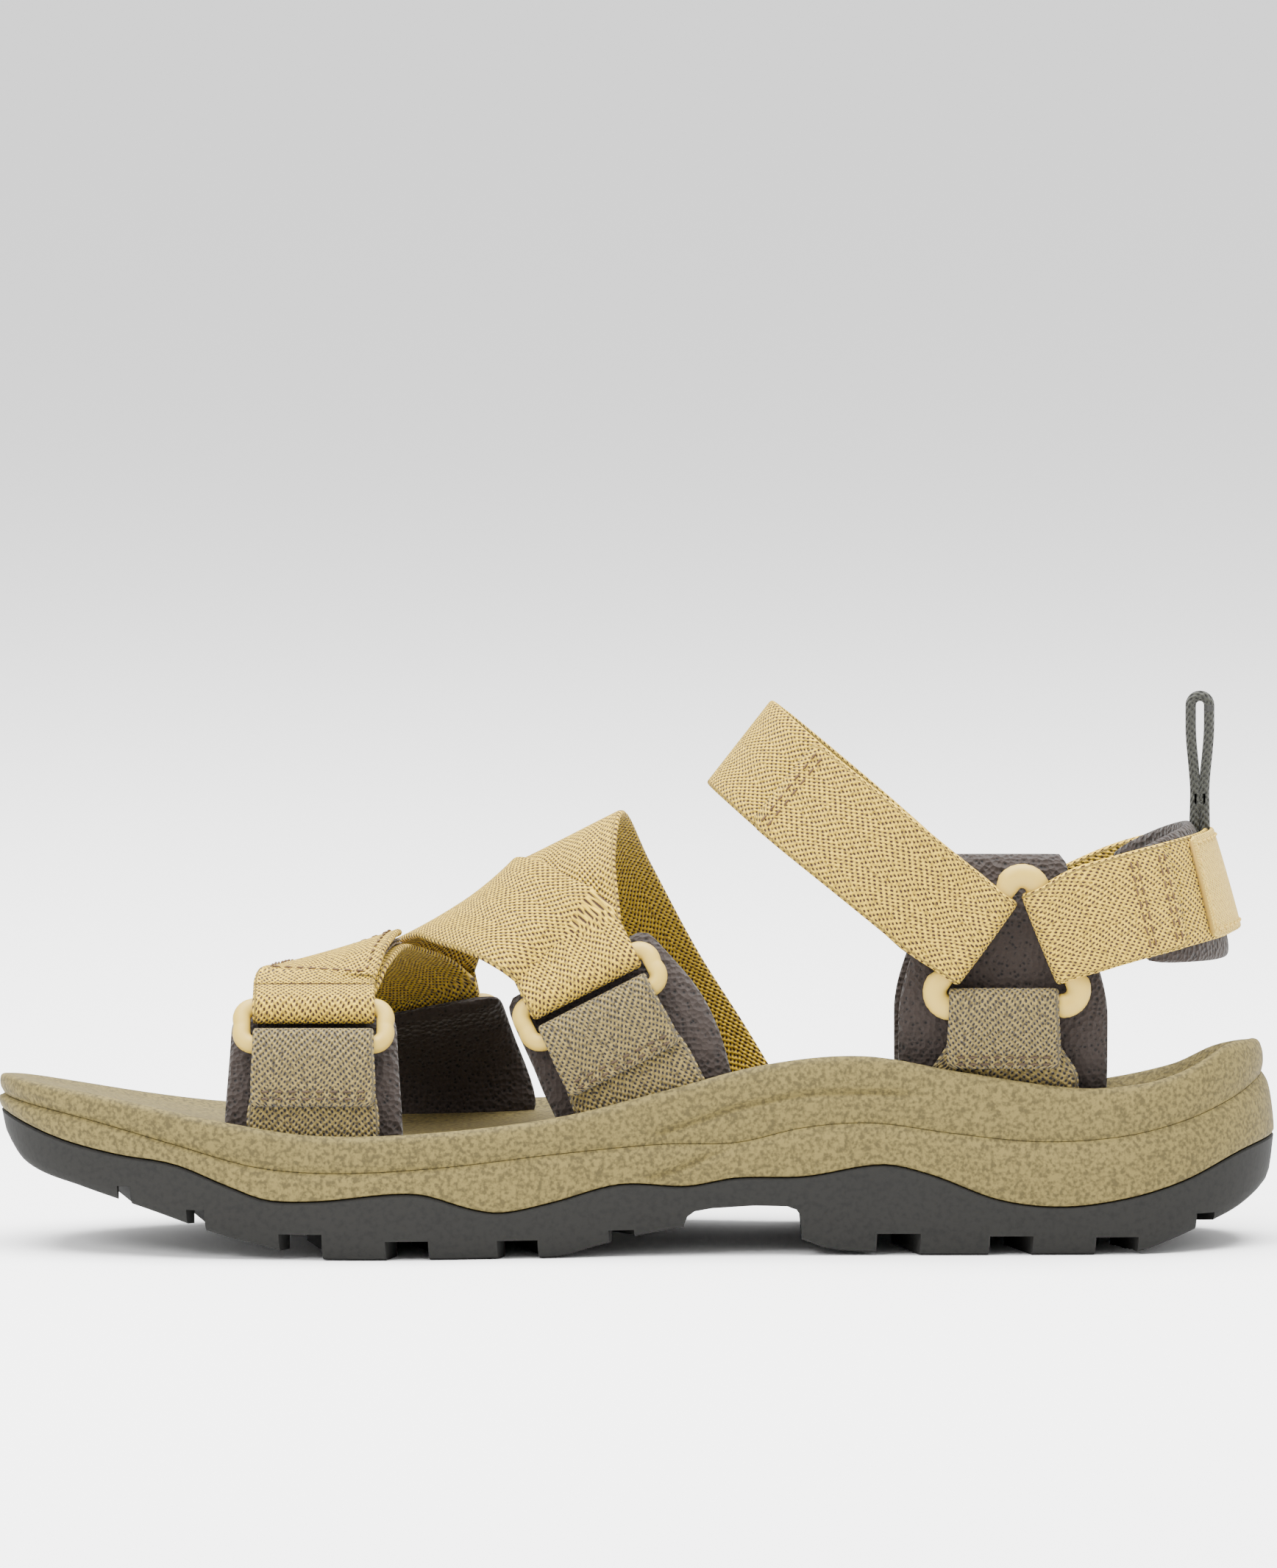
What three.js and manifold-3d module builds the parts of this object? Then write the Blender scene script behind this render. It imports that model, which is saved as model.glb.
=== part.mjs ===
// Strappy sport sandal for a right foot, in millimetres, +Z up.
// The toe points to -X and the heel to +X, the medial (inner) side is -Y, the lateral (outer) side is +Y,
// and the tread stands on Z = 0 with the origin at the middle of the footprint's box.
import * as THREE from 'three';
import { mergeVertices } from 'three/addons/utils/BufferGeometryUtils.js';
import Module from 'manifold-3d';

const wasm = await Module();
wasm.setup();

// ---------------------------------------------------------------- driving dimensions

const LENGTH = 264;
const TOE_X = -LENGTH / 2;
const HEEL_X = LENGTH / 2;
const TOE_CAP = 46;
const HEEL_CAP = 36;
const GAP = 0.3;
const CENTRE_Y = 1.6;

const WEBBING_WIDTH = 25;
const WEBBING_THICK = 1.4;
const RING_WEBBING_WIDTH = 22;
const TAPE_THICK = 0.5;
const TAPE_WIDTH = 22;
const BAR_RADIUS = 1.5;
const WRAP_RADIUS = BAR_RADIUS + GAP + WEBBING_THICK / 2;
const DOUBLED = (WEBBING_THICK + GAP) / 2;
const CLOSURE = WEBBING_THICK + 2 * TAPE_THICK + 3 * GAP;
const PAD_THICK = 4;
const PAD_CENTRE = WRAP_RADIUS + WEBBING_THICK / 2 + 0.5 + PAD_THICK / 2;
const COLLAR_THICK = 3.4;
const TREAD_DEPTH = 4;

const FRONT_RING = { width: 29, height: 8, corner: 2.4 };
const ANKLE_RING = { front: [-17, -9.3], rear: [14.8, -8.6], top: [3.2, 19.3], corner: 2.6 };

// ---------------------------------------------------------------- small helpers

const vec = (x, y, z) => new THREE.Vector3(x, y, z);
const rad = THREE.MathUtils.degToRad;
const mix = THREE.MathUtils.lerp;
const smooth = (t) => THREE.MathUtils.smoothstep(t, 0, 1);

/** Smooth height curve: a cubic Hermite spline through [x, value] pairs, flat outside them. */
function heights(points) {
  const last = points.length - 1;
  const slope = points.map((point, i) => {
    const before = points[Math.max(i - 1, 0)];
    const after = points[Math.min(i + 1, last)];
    return (after[1] - before[1]) / (after[0] - before[0]);
  });
  return (x) => {
    if (x <= points[0][0]) return points[0][1];
    if (x >= points[last][0]) return points[last][1];
    const i = points.findIndex((point) => point[0] > x) - 1;
    const span = points[i + 1][0] - points[i][0];
    const t = (x - points[i][0]) / span;
    const rest = 1 - t;
    return (
      points[i][1] * rest * rest * (1 + 2 * t) +
      points[i + 1][1] * t * t * (3 - 2 * t) +
      slope[i] * span * t * rest * rest -
      slope[i + 1] * span * t * t * rest
    );
  };
}

/** Turns a triangle list inside out where its signed volume is negative. */
function faceOutwards(geometry) {
  const merged = mergeVertices(geometry, 1e-4);
  const position = merged.attributes.position;
  const index = merged.index.array;
  const [a, b, c] = [vec(0, 0, 0), vec(0, 0, 0), vec(0, 0, 0)];
  let volume = 0;
  for (let i = 0; i < index.length; i += 3) {
    a.fromBufferAttribute(position, index[i]);
    b.fromBufferAttribute(position, index[i + 1]);
    c.fromBufferAttribute(position, index[i + 2]);
    volume += a.dot(b.cross(c));
  }
  if (volume < 0) {
    for (let i = 0; i < index.length; i += 3) {
      [index[i], index[i + 1]] = [index[i + 1], index[i]];
    }
  }
  return merged;
}

/** Closed skin through rings of equal count, capped or looped; columns in `crossed` split the other way. */
function skin(rings, { loop = false, caps = !loop, crossed = [] } = {}) {
  const count = rings[0].length;
  const positions = rings.flat().flatMap((p) => [p.x, p.y, p.z]);
  const index = [];
  const bands = loop ? rings.length : rings.length - 1;
  for (let i = 0; i < bands; i += 1) {
    const next = (i + 1) % rings.length;
    for (let j = 0; j < count; j += 1) {
      const k = (j + 1) % count;
      const [a, b, c, d] = [i * count + j, i * count + k, next * count + k, next * count + j];
      index.push(...(crossed.includes(j) ? [a, b, d, b, c, d] : [a, b, c, a, c, d]));
    }
  }
  if (caps) {
    const end = (rings.length - 1) * count;
    for (let j = 1; j < count - 1; j += 1) {
      index.push(0, j + 1, j, end, end + j, end + j + 1);
    }
  }
  const geometry = new THREE.BufferGeometry();
  geometry.setAttribute('position', new THREE.Float32BufferAttribute(positions, 3));
  geometry.setIndex(index);
  return faceOutwards(geometry);
}

/** A three.js geometry as a manifold solid. */
function toSolid(geometry) {
  const bare = geometry.clone();
  bare.deleteAttribute('normal');
  bare.deleteAttribute('uv');
  const merged = mergeVertices(bare, 1e-4);
  return new wasm.Manifold(
    new wasm.Mesh({
      numProp: 3,
      vertProperties: new Float32Array(merged.attributes.position.array),
      triVerts: new Uint32Array(merged.index.array),
    }),
  );
}

/** A manifold solid back as a three.js geometry. */
function toGeometry(solid) {
  const mesh = solid.getMesh();
  const geometry = new THREE.BufferGeometry();
  geometry.setAttribute('position', new THREE.BufferAttribute(new Float32Array(mesh.vertProperties), 3));
  geometry.setIndex(new THREE.BufferAttribute(new Uint32Array(mesh.triVerts), 1));
  return geometry;
}

/** The first geometry with every cutter taken out of it. */
function cut(geometry, cutters) {
  const result = cutters.reduce((solid, cutter) => solid.subtract(toSolid(cutter)), toSolid(geometry));
  return toGeometry(result);
}

// ---------------------------------------------------------------- finishes and the assembly

const FINISH = {
  webbing: { color: 0xdcbc74, roughness: 0.85, metalness: 0 },
  tab: { color: 0xa3935f, roughness: 0.85, metalness: 0 },
  foam: { color: 0xafa06e, roughness: 0.8, metalness: 0 },
  rubber: { color: 0x4a4a46, roughness: 0.7, metalness: 0 },
  ring: { color: 0xdfc384, roughness: 0.45, metalness: 0 },
  lining: { color: 0x3a3038, roughness: 0.95, metalness: 0 },
  tape: { color: 0x6b5a3a, roughness: 0.95, metalness: 0 },
  cord: { color: 0x50554b, roughness: 0.85, metalness: 0 },
  shank: { color: 0x2c2c2e, roughness: 0.5, metalness: 0 },
};

const group = new THREE.Group();

function add(name, geometry, finish) {
  const mesh = new THREE.Mesh(geometry, new THREE.MeshStandardMaterial(FINISH[finish]));
  mesh.name = name;
  group.add(mesh);
}

// ---------------------------------------------------------------- the sole's outline and heights

const centreLine = heights([
  [-132, -8], [-108, -3], [-80, 0], [-52, 2], [-20, 3], [10, 3], [40, 2], [70, 0.5], [98, 0],
]);
const medialHalf = heights([
  [-132, 38], [-108, 40], [-80, 45], [-52, 48.5], [-20, 45], [10, 41], [40, 38], [98, 34.5],
]);
const lateralHalf = heights([
  [-132, 36], [-102, 37], [-78, 44], [-48, 47.3], [-20, 45.5], [10, 41], [40, 37], [98, 34],
]);

const rimMedial = heights([
  [-132, 36], [-110, 33], [-84, 28], [-66, 25.5], [-40, 26.2], [-16, 29], [5, 34], [26, 39.3],
  [46, 41], [66, 37.7], [90, 34.3], [104, 35.2], [112, 37.2], [118, 39.6], [124, 42.2], [132, 42.5],
]);
const rimLateral = heights([
  [-132, 35.2], [-117, 31], [-101, 27.4], [-84, 24.8], [-60, 24.2], [-20, 25.2], [10, 26.5],
  [40, 28.5], [70, 29], [94, 30], [112, 33.8], [122, 38.4], [132, 41.5],
]);
const dishDepth = heights([
  [-132, 0.4], [-100, 1.4], [-60, 2.4], [0, 3.5], [40, 5.5], [90, 6.5], [112, 8], [132, 8],
]);
const seamHeight = heights([
  [-132, 31.6], [-114, 28.3], [-95, 23.5], [-78, 19], [-62, 17.9], [-40, 19], [-16, 21.5], [5, 23.2],
  [20, 23.4], [34, 26.4], [48, 27.3], [64, 25.2], [82, 23.4], [98, 24.2], [112, 27.2], [124, 31.5],
  [132, 35.5],
]);
const seamLateral = heights([
  [-132, 31.2], [-95, 22.3], [-62, 17.2], [-20, 17.8], [40, 20], [90, 21.5], [112, 26], [132, 35.5],
]);
const bedHeight = heights([
  [-132, 29.5], [-110, 25], [-84, 18.5], [-60, 16], [-20, 16.5], [20, 17.5], [95, 18.5], [132, 26],
]);
const rubberEdge = heights([
  [-132, 28.5], [-119, 23.7], [-107, 21], [-95, 19.3], [-84, 15], [-76, 12.2], [-66, 12], [-46, 13.5],
  [-34, 10.2], [-28, 9.4], [-18, 11.3], [-4, 14.9], [10, 14.4], [20, 16], [34, 16.2], [50, 18.6],
  [60, 16.5], [74, 11.3], [87, 9.8], [100, 11.4], [112, 14.8], [124, 20.2], [132, 22.5],
]);
const treadHeight = heights([
  [-132, 24.4], [-126, 18], [-114, 14], [-100, 9.8], [-86, 5.2], [-76, 2.6], [-66, 0.3], [-60, 0],
  [-18, 0], [-9, 2.2], [0, 4.4], [10, 6], [20, 6], [33, 3.4], [39, 1.3], [50, 0.5], [60, 0],
  [95, 0], [103, 0.6], [110, 3], [118, 6.8], [124, 9.5], [132, 17],
]);
const treadBottom = (x) => Math.max(treadHeight(x), 0);
const floorHeight = heights([
  [-132, 26.3], [-119, 20.6], [-100, 15], [-84, 10.5], [-66, 6.4], [-40, 5.6], [-18, 6], [0, 10],
  [15, 12.9], [34, 13], [48, 8.6], [64, 6], [90, 5.6], [104, 7.2], [116, 12.2], [126, 16.6], [132, 20],
]);

/** How far the outline has closed in at x: 1 along the middle, an ellipse down to 0 at each tip. */
function capShare(x) {
  const past = Math.max((TOE_X + TOE_CAP - x) / TOE_CAP, (x - HEEL_X + HEEL_CAP) / HEEL_CAP, 0);
  return Math.sqrt(Math.max(1 - past * past, 0));
}

/** Outline of the sole as a closed run of points: toe tip, lateral side, heel tip, medial side. */
function soleOutline() {
  const xs = [];
  const toeSteps = 7;
  const middleSteps = 21;
  const heelSteps = 6;
  for (let i = 0; i < toeSteps; i += 1) {
    xs.push(TOE_X + TOE_CAP * (1 - Math.cos((Math.PI / 2) * (i / toeSteps))));
  }
  for (let i = 0; i <= middleSteps; i += 1) {
    xs.push(mix(TOE_X + TOE_CAP, HEEL_X - HEEL_CAP, i / middleSteps));
  }
  for (let i = 1; i <= heelSteps; i += 1) {
    xs.push(HEEL_X - HEEL_CAP + HEEL_CAP * Math.sin((Math.PI / 2) * (i / heelSteps)));
  }
  const lateral = xs.map((x) => vec(x, centreLine(x) + lateralHalf(x) * capShare(x), 0));
  const medial = xs.slice(1, -1).map((x) => vec(x, centreLine(x) - medialHalf(x) * capShare(x), 0));
  return [...lateral, ...medial.reverse()];
}

const outline = soleOutline();
const outwards = outline.map((point, i) => {
  const before = outline[(i + outline.length - 1) % outline.length];
  const after = outline[(i + 1) % outline.length];
  const along = after.clone().sub(before).normalize();
  return vec(-along.y, along.x, 0);
});

/** Middle line that the sole's surfaces close on, one point for each x of the outline. */
function spinePoint(x) {
  const spineX = mix(TOE_X + 34, HEEL_X - 30, (x - TOE_X) / LENGTH);
  return vec(spineX, centreLine(spineX), 0);
}

/** 0 at the medial edge and 1 at the lateral edge, for a point of the plan. */
function across(point) {
  const share = Math.max(capShare(point.x), 0.05);
  const low = centreLine(point.x) - medialHalf(point.x) * share;
  const high = centreLine(point.x) + lateralHalf(point.x) * share;
  return THREE.MathUtils.clamp((point.y - low) / (high - low), 0, 1);
}

/** One ring of the sole: the outline pulled in by `inset`, then a share of the way to the spine. */
function soleRing(inset, inwards, height) {
  return outline.map((edge, i) => {
    const point = edge.clone().addScaledVector(outwards[i], -inset);
    point.lerp(spinePoint(edge.x), inwards);
    point.z = height(point);
    return point;
  });
}

const sided = (medial, lateral) => (p) => mix(medial(p.x), lateral(p.x), smooth(across(p)));
const rimAt = sided(rimMedial, rimLateral);
const seamAt = sided(seamHeight, seamLateral);
const bowlAt = (share) => (p) => rimAt(p) - dishDepth(p.x) * share;

// ---------------------------------------------------------------- sole pieces

/** Zigzag channel cut across the tread, open at both sides. */
function crossChannel({ x, width, depth }) {
  const swing = 3;
  const crossings = [-60, -36, -12, 12, 36, 60].map((y, i) => [x + (i % 2 ? swing : -swing), y]);
  const shape = new THREE.Shape([
    ...crossings.map(([px, y]) => new THREE.Vector2(px - width / 2, y)),
    ...crossings.reverse().map(([px, y]) => new THREE.Vector2(px + width / 2, y)),
  ]);
  const bottom = -3;
  const geometry = new THREE.ExtrudeGeometry(shape, {
    depth: treadHeight(x) + depth - bottom,
    bevelEnabled: false,
  });
  return geometry.translate(0, 0, bottom);
}

/** Zigzag channel cut along the middle of the tread between two x positions. */
function lengthwiseChannel(fromX, toX, steps) {
  const halfWidth = 2.5;
  const swing = 3;
  const run = Array.from({ length: steps + 1 }, (_, i) => {
    const x = mix(fromX, toX, i / steps);
    return [x, centreLine(x) + (i % 2 ? swing : -swing)];
  });
  const shape = new THREE.Shape([
    ...run.map(([x, y]) => new THREE.Vector2(x, y - halfWidth)),
    ...run.reverse().map(([x, y]) => new THREE.Vector2(x, y + halfWidth)),
  ]);
  const bottom = -3;
  const geometry = new THREE.ExtrudeGeometry(shape, {
    depth: Math.min(treadHeight(fromX), treadHeight(toX)) + TREAD_DEPTH - bottom,
    bevelEnabled: false,
  });
  return geometry.translate(0, 0, bottom);
}

/** Hollow under the arch, open to both sides, between the forefoot tread and the heel block. */
function archHollow() {
  const shape = new THREE.Shape([
    new THREE.Vector2(9.3, -3), new THREE.Vector2(9.3, 6.4), new THREE.Vector2(11, 9),
    new THREE.Vector2(15, 9.8), new THREE.Vector2(24, 10.4), new THREE.Vector2(31, 10.2),
    new THREE.Vector2(33.2, 8.8), new THREE.Vector2(33.8, -3),
  ]);
  const depth = 130;
  const geometry = new THREE.ExtrudeGeometry(shape, { depth, bevelEnabled: false });
  return geometry.rotateX(Math.PI / 2).translate(0, depth / 2, 0);
}

const TREAD_CHANNELS = [
  { x: -108, width: 3, depth: 2.4 },
  { x: -92, width: 4, depth: 3 },
  { x: -70, width: 9, depth: 4.2 },
  { x: -48.2, width: 8.6, depth: TREAD_DEPTH },
  { x: -26.4, width: 8, depth: TREAD_DEPTH },
  { x: -6, width: 5, depth: 2.6 },
  { x: 50.8, width: 9, depth: TREAD_DEPTH },
  { x: 74, width: 9, depth: TREAD_DEPTH },
  { x: 96, width: 9, depth: 3.6 },
  { x: 116, width: 4.5, depth: 2.6 },
];

function outsoleGeometry() {
  const tread = (p) => treadBottom(p.x);
  const floor = (p) => floorHeight(p.x);
  const lip = (drop) => (p) => rubberEdge(p.x) - drop;
  const body = skin([
    soleRing(2, 1, tread),
    soleRing(2, 0.5, tread),
    soleRing(3.4, 0, tread),
    soleRing(1.2, 0, (p) => mix(treadBottom(p.x), rubberEdge(p.x), 0.25)),
    soleRing(0.3, 0, lip(0)),
    soleRing(1.9, 0, lip(0)),
    soleRing(2.6, 0, lip(2)),
    soleRing(8, 0, floor),
    soleRing(8, 0.5, floor),
    soleRing(8, 1, floor),
  ], { caps: false });
  return cut(body, [
    archHollow(),
    ...TREAD_CHANNELS.map(crossChannel),
    lengthwiseChannel(-62, -14, 6),
    lengthwiseChannel(58, 100, 5),
  ]);
}

function midsoleGeometry(pockets) {
  const floor = (p) => floorHeight(p.x) + GAP;
  const lip = (drop) => (p) => rubberEdge(p.x) + GAP - drop;
  const bed = (p) => bedHeight(p.x);
  const body = skin([
    soleRing(9, 1, bed),
    soleRing(9, 0.35, bed),
    soleRing(9, 0, (p) => mix(seamAt(p), bedHeight(p.x), 0.7)),
    soleRing(2, 0, seamAt),
    soleRing(0.6, 0, (p) => seamAt(p) - 1),
    soleRing(-0.2, 0, (p) => mix(rubberEdge(p.x) + GAP, seamAt(p), 0.45)),
    soleRing(0.3, 0, lip(0)),
    soleRing(1.9, 0, lip(0)),
    soleRing(2.6, 0, lip(2)),
    soleRing(8, 0, floor),
    soleRing(8, 0.5, floor),
    soleRing(8, 1, floor),
  ], { caps: false });
  return cut(body, pockets);
}

function footbedGeometry(pockets) {
  const body = skin([
    soleRing(9, 1, (p) => bedHeight(p.x) + GAP),
    soleRing(9, 0.35, (p) => bedHeight(p.x) + GAP),
    soleRing(9, 0, (p) => mix(seamAt(p), bedHeight(p.x), 0.7) + GAP),
    soleRing(2, 0, (p) => seamAt(p) + GAP),
    soleRing(1, 0, (p) => seamAt(p) + GAP + 0.4),
    soleRing(0, 0, (p) => mix(seamAt(p), rimAt(p), 0.45)),
    soleRing(0.5, 0, (p) => rimAt(p) - 1.4),
    soleRing(1.7, 0, rimAt),
    soleRing(4, 0, bowlAt(0.15)),
    soleRing(8, 0, bowlAt(0.55)),
    soleRing(8, 0.3, bowlAt(0.9)),
    soleRing(8, 1, bowlAt(1)),
  ], { caps: false });
  return cut(body, pockets);
}

// ---------------------------------------------------------------- rings and the frames on their bars

/** Frame of a ring: u runs along its lower bar, v up in its plane, n out from the foot. */
function ringFrame(centre, tilt, lean, side) {
  const u = vec(Math.cos(rad(tilt)), 0, Math.sin(rad(tilt)));
  const v = vec(-u.z, 0, u.x).multiplyScalar(Math.cos(rad(lean)));
  v.addScaledVector(vec(0, -side, 0), Math.sin(rad(lean)));
  const n = side < 0 ? u.clone().cross(v) : v.clone().cross(u);
  return { o: centre, u, v, n };
}

/** Frame on a bar of a ring: v points the way the webbing leaves, and the run bends inwards with b. */
function barFrame(ring, [a, b], direction, bend = 0) {
  const [c, s] = [Math.cos(rad(direction)), Math.sin(rad(direction))];
  return {
    o: place({ ...ring, bend: 0 }, a, b, 0),
    u: ring.u.clone().multiplyScalar(s).addScaledVector(ring.v, -c),
    v: ring.u.clone().multiplyScalar(c).addScaledVector(ring.v, s),
    n: ring.n,
    bend,
  };
}

/** World point at a along the bar, b along the webbing and c outwards, square to the bent run. */
function place(frame, a, b, c) {
  const reach = Math.max(b, 0);
  const bow = frame.bend ?? 0;
  const slope = 2 * bow * reach;
  const out = frame.n.clone().addScaledVector(frame.v, slope).normalize();
  return frame.o
    .clone()
    .addScaledVector(frame.u, a)
    .addScaledVector(frame.v, b)
    .addScaledVector(frame.n, -bow * reach * reach)
    .addScaledVector(out, c);
}

/** Round bar along a closed path of [a, b] points in a ring's plane. */
function ringGeometry(frame, path) {
  const sides = 8;
  const count = path.length;
  const rings = path.map((point, i) => {
    const before = path[(i + count - 1) % count];
    const after = path[(i + 1) % count];
    const along = new THREE.Vector2(after[0] - before[0], after[1] - before[1]).normalize();
    return Array.from({ length: sides }, (_, k) => {
      const turn = (2 * Math.PI * (k + 0.5)) / sides;
      const reach = BAR_RADIUS * Math.cos(turn);
      const [a, b] = [point[0] + along.y * reach, point[1] - along.x * reach];
      return place(frame, a, b, BAR_RADIUS * Math.sin(turn));
    });
  });
  return skin(rings, { loop: true });
}

/** Closed path with rounded corners through the given corner points. */
function roundedPath(corners, radius, steps = 4) {
  return corners.flatMap((corner, i) => {
    const point = new THREE.Vector2(...corner);
    const previous = corners[(i + corners.length - 1) % corners.length];
    const before = new THREE.Vector2(...previous).sub(point).normalize();
    const after = new THREE.Vector2(...corners[(i + 1) % corners.length]).sub(point).normalize();
    const halfAngle = before.angleTo(after) / 2;
    const bisector = before.clone().add(after).normalize();
    const centre = point.clone().addScaledVector(bisector, radius / Math.sin(halfAngle));
    const start = point.clone().addScaledVector(before, radius / Math.tan(halfAngle)).sub(centre);
    const sweep = (Math.PI - 2 * halfAngle) * Math.sign(start.cross(bisector) * -1 || 1);
    return Array.from({ length: steps + 1 }, (_, k) => {
      const spoke = start.clone().rotateAround(new THREE.Vector2(), (sweep * k) / steps);
      return centre.clone().add(spoke).toArray();
    });
  });
}

// ---------------------------------------------------------------- webbing

/** Flat band through stations { p, w, width }: p its middle, w its width direction. */
function ribbon(stations, thick = WEBBING_THICK) {
  const sides = stations.reduce((list, { w }) => {
    const flip = list.length && list[list.length - 1].dot(w) < 0 ? -1 : 1;
    return [...list, w.clone().multiplyScalar(flip)];
  }, []);
  const rings = stations.map(({ p, width = WEBBING_WIDTH }, i) => {
    const { w, n } = bandAxes(stations, sides, i);
    const half = w.multiplyScalar(width / 2);
    const up = n.multiplyScalar(thick / 2);
    return [
      p.clone().sub(half).sub(up), p.clone().add(half).sub(up),
      p.clone().add(half).add(up), p.clone().sub(half).add(up),
    ];
  });
  return skin(rings, { crossed: [0] });
}

/** Width direction and normal of a band at station i, square to the band's run or kept from its base. */
function bandAxes(stations, sides, i) {
  const before = stations[Math.max(i - 1, 0)].p;
  const after = stations[Math.min(i + 1, stations.length - 1)].p;
  const along = after.clone().sub(before).normalize();
  const w = sides[i].clone().addScaledVector(along, -sides[i].dot(along)).normalize();
  const n = along.clone().cross(w);
  const kept = stations[i].n;
  if (!kept) return { w, n };
  return { w: sides[i].clone(), n: kept.clone().multiplyScalar(Math.sign(kept.dot(n))) };
}

/** Stations on one side of a bar, the wrap's radius off it at the bar and `spread` off it from b = 9 on. */
function leg(bar, side, runs, spread, width = WEBBING_WIDTH, barWidth = width) {
  return runs.map((b) => {
    const share = smooth(b / 9);
    const c = side * mix(WRAP_RADIUS, spread, share);
    return { p: place(bar, 0, b, c), w: bar.u.clone(), width: mix(barWidth, width, share) };
  });
}

/** Stations of the bend round a bar between two angles, -90 being its inner side and 90 its outer side. */
function bend(bar, width, from = -90, to = 90) {
  return Array.from({ length: 7 }, (_, i) => {
    const angle = rad(mix(from, to, i / 6));
    return {
      p: place(bar, 0, -WRAP_RADIUS * Math.cos(angle), WRAP_RADIUS * Math.sin(angle)),
      w: bar.u.clone(),
      width,
    };
  });
}

/** The frame of a bar leaned further inwards by an angle, for webbing that leaves it at that angle. */
function lean(bar, angle) {
  const [c, s] = [Math.cos(rad(angle)), Math.sin(rad(angle))];
  return {
    ...bar,
    v: bar.v.clone().multiplyScalar(c).addScaledVector(bar.n, -s),
    n: bar.n.clone().multiplyScalar(c).addScaledVector(bar.v, s),
  };
}

/**
 * Stations along a smooth curve through [x, y, z, tilt, lean] points. The tilt is the band's slope in XZ
 * and the lean, zero where it is left out, is how far its upper edge turns towards +Y.
 */
function route(points, { from, to, width = WEBBING_WIDTH, perSpan = 3 } = {}) {
  const slope = ({ w }) => THREE.MathUtils.radToDeg(Math.atan2(w.z, w.x));
  const near = (angle, goal) => angle - 180 * Math.round((angle - goal) / 180);
  const knots = points.map(([x, y, z, tilt, lean = 0]) => ({ p: vec(x, y, z), tilt, lean }));
  if (from) knots.unshift({ p: from.p, tilt: near(slope(from), knots[0].tilt), lean: 0 });
  if (to) knots.push({ p: to.p, tilt: near(slope(to), knots[knots.length - 1].tilt), lean: 0 });
  const curve = new THREE.CatmullRomCurve3(knots.map(({ p }) => p), false, 'centripetal');
  const spans = knots.length - 1;
  const stations = [];
  for (let i = from ? 1 : 0; i <= spans * perSpan - (to ? 1 : 0); i += 1) {
    const k = Math.min(Math.floor(i / perSpan), spans - 1);
    const tilt = rad(mix(knots[k].tilt, knots[k + 1].tilt, i / perSpan - k));
    const lean = rad(mix(knots[k].lean, knots[k + 1].lean, i / perSpan - k));
    const w = vec(Math.cos(tilt) * Math.cos(lean), Math.sin(lean), Math.sin(tilt) * Math.cos(lean));
    stations.push({ p: curve.getPoint(i / perSpan / spans), w, width });
  }
  return stations;
}

/** The same band moved `distance` away from the point `core`, square to itself. */
function lift(stations, core, distance, width) {
  return stations.map((station, i) => {
    const { w, n } = bandAxes(stations, stations.map((item) => item.w), i);
    const away = Math.sign(n.dot(station.p.clone().sub(core)));
    const p = station.p.clone().addScaledVector(n, away * distance);
    return { p, w, n, width: width ?? station.width };
  });
}

/** Doubled webbing tab from the sole round a ring's lower bar and back down. */
function tabGeometry(bar, reach, [ringWidth, footWidth]) {
  const runs = [reach, mix(9, reach, 0.66), mix(9, reach, 0.33), 9, 6, 3];
  const side = (sign) => leg(bar, sign, runs, DOUBLED).map((station, i) => (
    { ...station, width: mix(ringWidth, footWidth, smooth(runs[i] / 12)) }
  ));
  return ribbon([...side(-1), ...bend(bar, ringWidth), ...side(1).reverse()]);
}

/**
 * Stations of a lining pad behind a tab and its ring, from inside the sole up to `top` past the bar.
 * It leans inwards from `from` past the bar by `rate` times the square of the distance, and narrows
 * over the last part of its length, from the share `waist` on.
 */
function padStations(bar, reach, { top, from, rate, waist, widths }) {
  const steps = 10;
  return Array.from({ length: steps + 1 }, (_, i) => {
    const b = mix(reach, -top, i / steps);
    const past = Math.max(-b - from, 0);
    const narrowing = smooth((i / steps - waist) / (1 - waist));
    const width = mix(widths[0], widths[1], narrowing) * (i === steps ? 0.8 : 1);
    return { p: place(bar, 0, b, -PAD_CENTRE - rate * past * past), w: bar.u.clone(), width };
  });
}

/** Slot through the footbed and into the midsole for the feet of a tab and its pad. */
function footSlot(bar, reach, width) {
  const outer = DOUBLED + WEBBING_THICK / 2 + GAP;
  const inner = -PAD_CENTRE - PAD_THICK / 2 - GAP;
  const stations = Array.from({ length: 5 }, (_, i) => {
    const b = mix(reach + GAP, reach - 22, i / 4);
    return { p: place(bar, 0, b, (outer + inner) / 2), w: bar.u.clone(), width: width + 2 * GAP };
  });
  return ribbon(stations, outer - inner);
}

// ---------------------------------------------------------------- ring positions

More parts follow.
